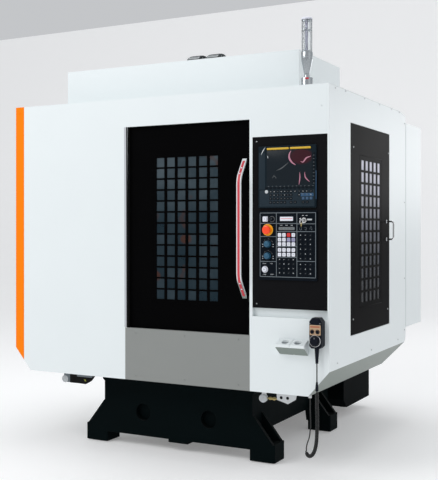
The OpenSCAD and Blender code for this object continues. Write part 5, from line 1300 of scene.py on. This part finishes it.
class MACHINE_OT_cabinet_dress(bpy.types.Operator):
    """Electrical cabinet: drives, a ribbed unit, breakers and ducts inside; locks and a grille outside"""

    bl_idname = "machine.cabinet_dress"
    bl_label = "Electrical cabinet"

    def execute(self, context):
        skin = Skin()
        # five drives: a face with a grille, a window, and four plugs of four poles each
        drive_face, pole = 1645, [(3.4, -0.3), (3.4, 0.4), (2.4, 0.8)]
        for x in 157.5 + 105 * np.arange(5):
            skin.plate(on_back(x, 1645, drive_face - 2), 86, 404, 3, eased(2.5, 1), slot=0, steps=2)
            skin.slats(on_back(x, 0, drive_face), 34, range(1740, 1829, 11), 4, 2.5, slot=1)
            skin.plate(on_back(x, 1700, drive_face), 46, 24, 3, eased(2, 1), slot=2, steps=2)
            for z, tone in ((1655, 3), (1607, 4), (1559, 4), (1511, 5)):
                skin.plate(on_back(x, z, drive_face), 56, 30, 3, eased(5, 1.5), slot=tone, steps=2)
                for shift in (-18, -6, 6, 18):
                    skin.turn(on_back(x + shift, z, drive_face + 4.8), pole, 8, slot=1)
        # the ribbed unit with its round fan, the base with three round terminals, and the breakers
        skin.plate(on_back(800, 1665, 1593), 262, 322, 5, eased(3, 1.5), slot=0, steps=3)
        skin.slats(on_back(800, 0, 1596), 110, range(1560, 1737, 16), 6, 3, slot=1)
        skin.ring(on_back(800, 1790, 1596), [(28, -0.4), (28, 3), (25, 4), (23, 3), (23, -0.4)], 32, slot=1)
        skin.plate(on_back(260, 975, 1653), 280, 220, 6, eased(3, 1.5), slot=4, steps=3)
        for x in (170, 260, 350):
            skin.turn(on_back(x, 975, 1655), [(38, -0.4), (38, 10), (34, 14), (16, 14), (14, 10)], 28, slot=6)
        for i in range(8):
            x = 513 + 52 * i
            skin.plate(on_back(x, 1145, 1513), 42, 92, 3, eased(4, 1.5), slot=4 if i % 2 else 0, steps=2)
            skin.turn(on_back(x, 1165, 1516.8), [(6, -0.3), (6, 2), (4.5, 3)], 14, slot=5 if i % 3 else 3)
        # slotted ducts
        for z in (1340, 1240, 1010):
            skin.plate(on_back(530, z, 1437), 880, 52, 4, eased(58, 3), slot=0, steps=2)
            for k in range(40):
                skin.bar(on_back(105 + 21.5 * k, z, 1495), (0, -22), (0, 22), 3, 0.8, slot=1)
        names = ("grey_plastic", "key_dark", "display", "key_blue", "black_plastic", "mark_yellow", "brass")
        skin.make("drive_dress", names, "machine", "grey_plastic")
        # door: two turn locks and a filter grille
        door, out = Skin(), (high("cabinet_door").y - FRONT) / MM
        for z in (900, 1800):
            door.turn(on_back(40, z, out), [(17, -0.4), (17, 3), (15, 5), (10, 5.5)], 28, slot=0)
            door.plate(on_back(40, z, out + 5), 7, 26, 3, eased(5, 2), slot=0, steps=3)
        door.plate(on_back(700, 900, out), 260, 260, 8, eased(5, 2.5), slot=1, steps=3)
        door.slats(on_back(700, 0, out + 4.6), 112, range(792, 1009, 18), 8, 4, slot=1)
        door.make("cabinet_door_dress", ("zinc", "grey_plastic"), "cabinet_door", "white_paint")
        return {"FINISHED"}


class MACHINE_OT_castings(bpy.types.Operator):
    """Plates behind the bed's core holes, motor screws, the head's fan cover and nozzles, spindle keys"""

    bl_idname = "machine.castings"
    bl_label = "Castings"

    def execute(self, context):
        skin = Skin()
        for x in (-226, 226):
            skin.plate(on_front(x, 213, -240), 170, 170, 8, eased(6, 2), slot=0, steps=3)
        # screws of the Y motor's cap
        cap = (FRONT - low("servo_motors").y) / MM
        skin.screws([on_front(x, z, cap - 10) for x in (-26, 26) for z in (564, 616)], 4, slot=1)
        skin.make("casting_dress", ("cast_iron", "zinc"), "machine", "cast_iron")
        # fan cover on the spindle motor, and two coolant nozzles under the head
        head, axis_y = Skin(), -0.09
        top = on_top(0, (low("spindle").y + 0.045 - FRONT) / MM, high("spindle_head").z / MM - 8)
        for r in (72, 58, 44, 30):
            head.ring(top, [(r, 0), (r, 7.4), (r - 1, 7.9), (r - 4, 7.9), (r - 5, 7.4), (r - 5, 0)], 40,
                      slot=0)
        for angle in np.radians(np.arange(0, 360, 45)):
            way = np.array([np.cos(angle), np.sin(angle)])
            head.bar(top, 20 * way, 70 * way, 4, 7.0, slot=0)
        nose = low("spindle_head").z
        for x in (-100, 100):
            path = smooth_line([(x * MM, axis_y - 0.03, 1.425), (x * MM, -0.12, nose + 0.075),
                                (x * 0.92 * MM, -0.118, nose + 0.05),
                                (x * 0.72 * MM, -0.112, nose + 0.02)], 0.006)
            radius = np.where(np.arange(len(path)) > len(path) * 0.8, 0.0042, 0.006)
            head.grid(carried(path, radius, 12), slot=1)
        head.make("head_dress", ("black_paint", "brass"), "spindle_head", "white_paint")
        # drive keys and face ring of the spindle
        tip = frame_at((0, axis_y, low("spindle").z), (0, 0, -1), (0, 1, 0))
        keys = Skin()
        keys.ring(tip, [(42, -0.4), (42, 0.6), (40, 1.2), (20, 1.2), (19, 0.4), (19, -0.4)], 40, slot=0)
        origin, *axes = tip
        for side in (-0.030, 0.030):
            keys.plate((origin + side * axes[0], *axes), 14, 18, 2, eased(7.5, 1), slot=0, steps=2)
        keys.make("spindle_keys", ("ground_steel",), "spindle", "ground_steel")
        return {"FINISHED"}


class MACHINE_OT_tank_dress(bpy.types.Operator):
    """Coolant tank: lid handles and screws, a capped hole, and the pump's fins, cover and terminal box"""

    bl_idname = "machine.tank_dress"
    bl_label = "Coolant tank"

    def execute(self, context):
        skin = Skin()
        lid = 374
        bow = np.array([(-60, 0, -2), (-60, 0, 24), (-48, 0, 36), (48, 0, 36), (60, 0, 24), (60, 0, -2)])
        for x in (-430, 60):
            path = smooth_line((bow + (x, 2000, lid)) * MM + [0, FRONT, 0], 0.006)
            skin.grid(carried(path, 0.005, 10), slot=0)
        skin.screws([on_top(x, y, lid) for x in np.linspace(-590, 590, 7) for y in (1478, 2022)], 4.5)
        # fins round the pump's motor, its cover, and its terminal box
        x0, y0, barrel = 0.400, 1.202, 0.0695
        pump_y = (y0 - FRONT) / MM
        pump = on_top(x0 / MM, pump_y, 0)
        for angle in np.linspace(0, 2 * np.pi, 28, endpoint=False):
            n = (math.cos(angle), math.sin(angle), 0)
            o = (x0 + barrel * n[0], y0 + barrel * n[1], 0.475)
            skin.plate(frame_at(o, n), 3, 130, 1, eased(5, 1), slot=1, steps=1)
        skin.ring(pump, [(76, 545), (76, 578), (72, 584), (40, 586), (38, 580), (38, 545)], 40, slot=1)
        for angle in np.linspace(0, 2 * np.pi, 10, endpoint=False):
            way = np.array([np.cos(angle), np.sin(angle)])
            skin.bar(on_top(x0 / MM, pump_y, 580), 38 * way, 70 * way, 4, 5, slot=1)
        skin.plate(frame_at((x0, y0 - 0.068, 0.49), (0, -1, 0)), 70, 60, 6, eased(32, 4), slot=1, steps=4)
        # capped hole high on the right wall
        cap = [(12, -0.4), (12, 1.5), (10.5, 2.2), (8, 2.2), (8, -0.4)]
        skin.ring(frame_at((0.612, 1.180, 0.340), (1, 0, 0)), cap, 24, slot=1)
        skin.make("tank_dress", ("zinc", "black_plastic"), "machine", "tank_paint")
        return {"FINISHED"}


OPERATORS = [MACHINE_OT_stage, MACHINE_OT_finishes, MACHINE_OT_pendant_cord, MACHINE_OT_panel_lines,
             MACHINE_OT_key_caps, MACHINE_OT_display_unit, MACHINE_OT_push_controls, MACHINE_OT_door_dress,
             MACHINE_OT_pendant_dress, MACHINE_OT_shelf, MACHINE_OT_signal_lamp, MACHINE_OT_underside,
             MACHINE_OT_chain_lids, MACHINE_OT_sheet_joints, MACHINE_OT_cabinet_dress, MACHINE_OT_castings,
             MACHINE_OT_tank_dress]
SETTINGS = {"machine_finish": FinishSettings, "machine_cord": CordSettings, "machine_camera": CameraSettings}


class MACHINE_PT_looks(bpy.types.Panel):
    """Lists the machine's pieces in the sidebar."""

    bl_label = "Machining center"
    bl_idname = "MACHINE_PT_looks"
    bl_space_type = "VIEW_3D"
    bl_region_type = "UI"
    bl_category = "Machine"

    def draw(self, context):
        for name, kind in SETTINGS.items():
            box = self.layout.box()
            box.label(text=kind.__doc__)
            for key in kind.__annotations__:
                box.prop(getattr(context.scene, name), key)
        for operator in OPERATORS:
            self.layout.operator(operator.bl_idname)


def register():
    """Registers the settings, the operators and the panel."""
    for kind in [*SETTINGS.values(), *OPERATORS, MACHINE_PT_looks]:
        bpy.utils.register_class(kind)
    for name, kind in SETTINGS.items():
        setattr(bpy.types.Scene, name, PointerProperty(type=kind))


def unregister():
    """Removes what register() added."""
    for name in SETTINGS:
        delattr(bpy.types.Scene, name)
    for kind in reversed([*SETTINGS.values(), *OPERATORS, MACHINE_PT_looks]):
        bpy.utils.unregister_class(kind)


def main():
    """Makes every piece in order."""
    register()
    for operator in OPERATORS:
        category, action = operator.bl_idname.split(".")
        getattr(getattr(bpy.ops, category), action)()


if __name__ == "__main__":
    main()
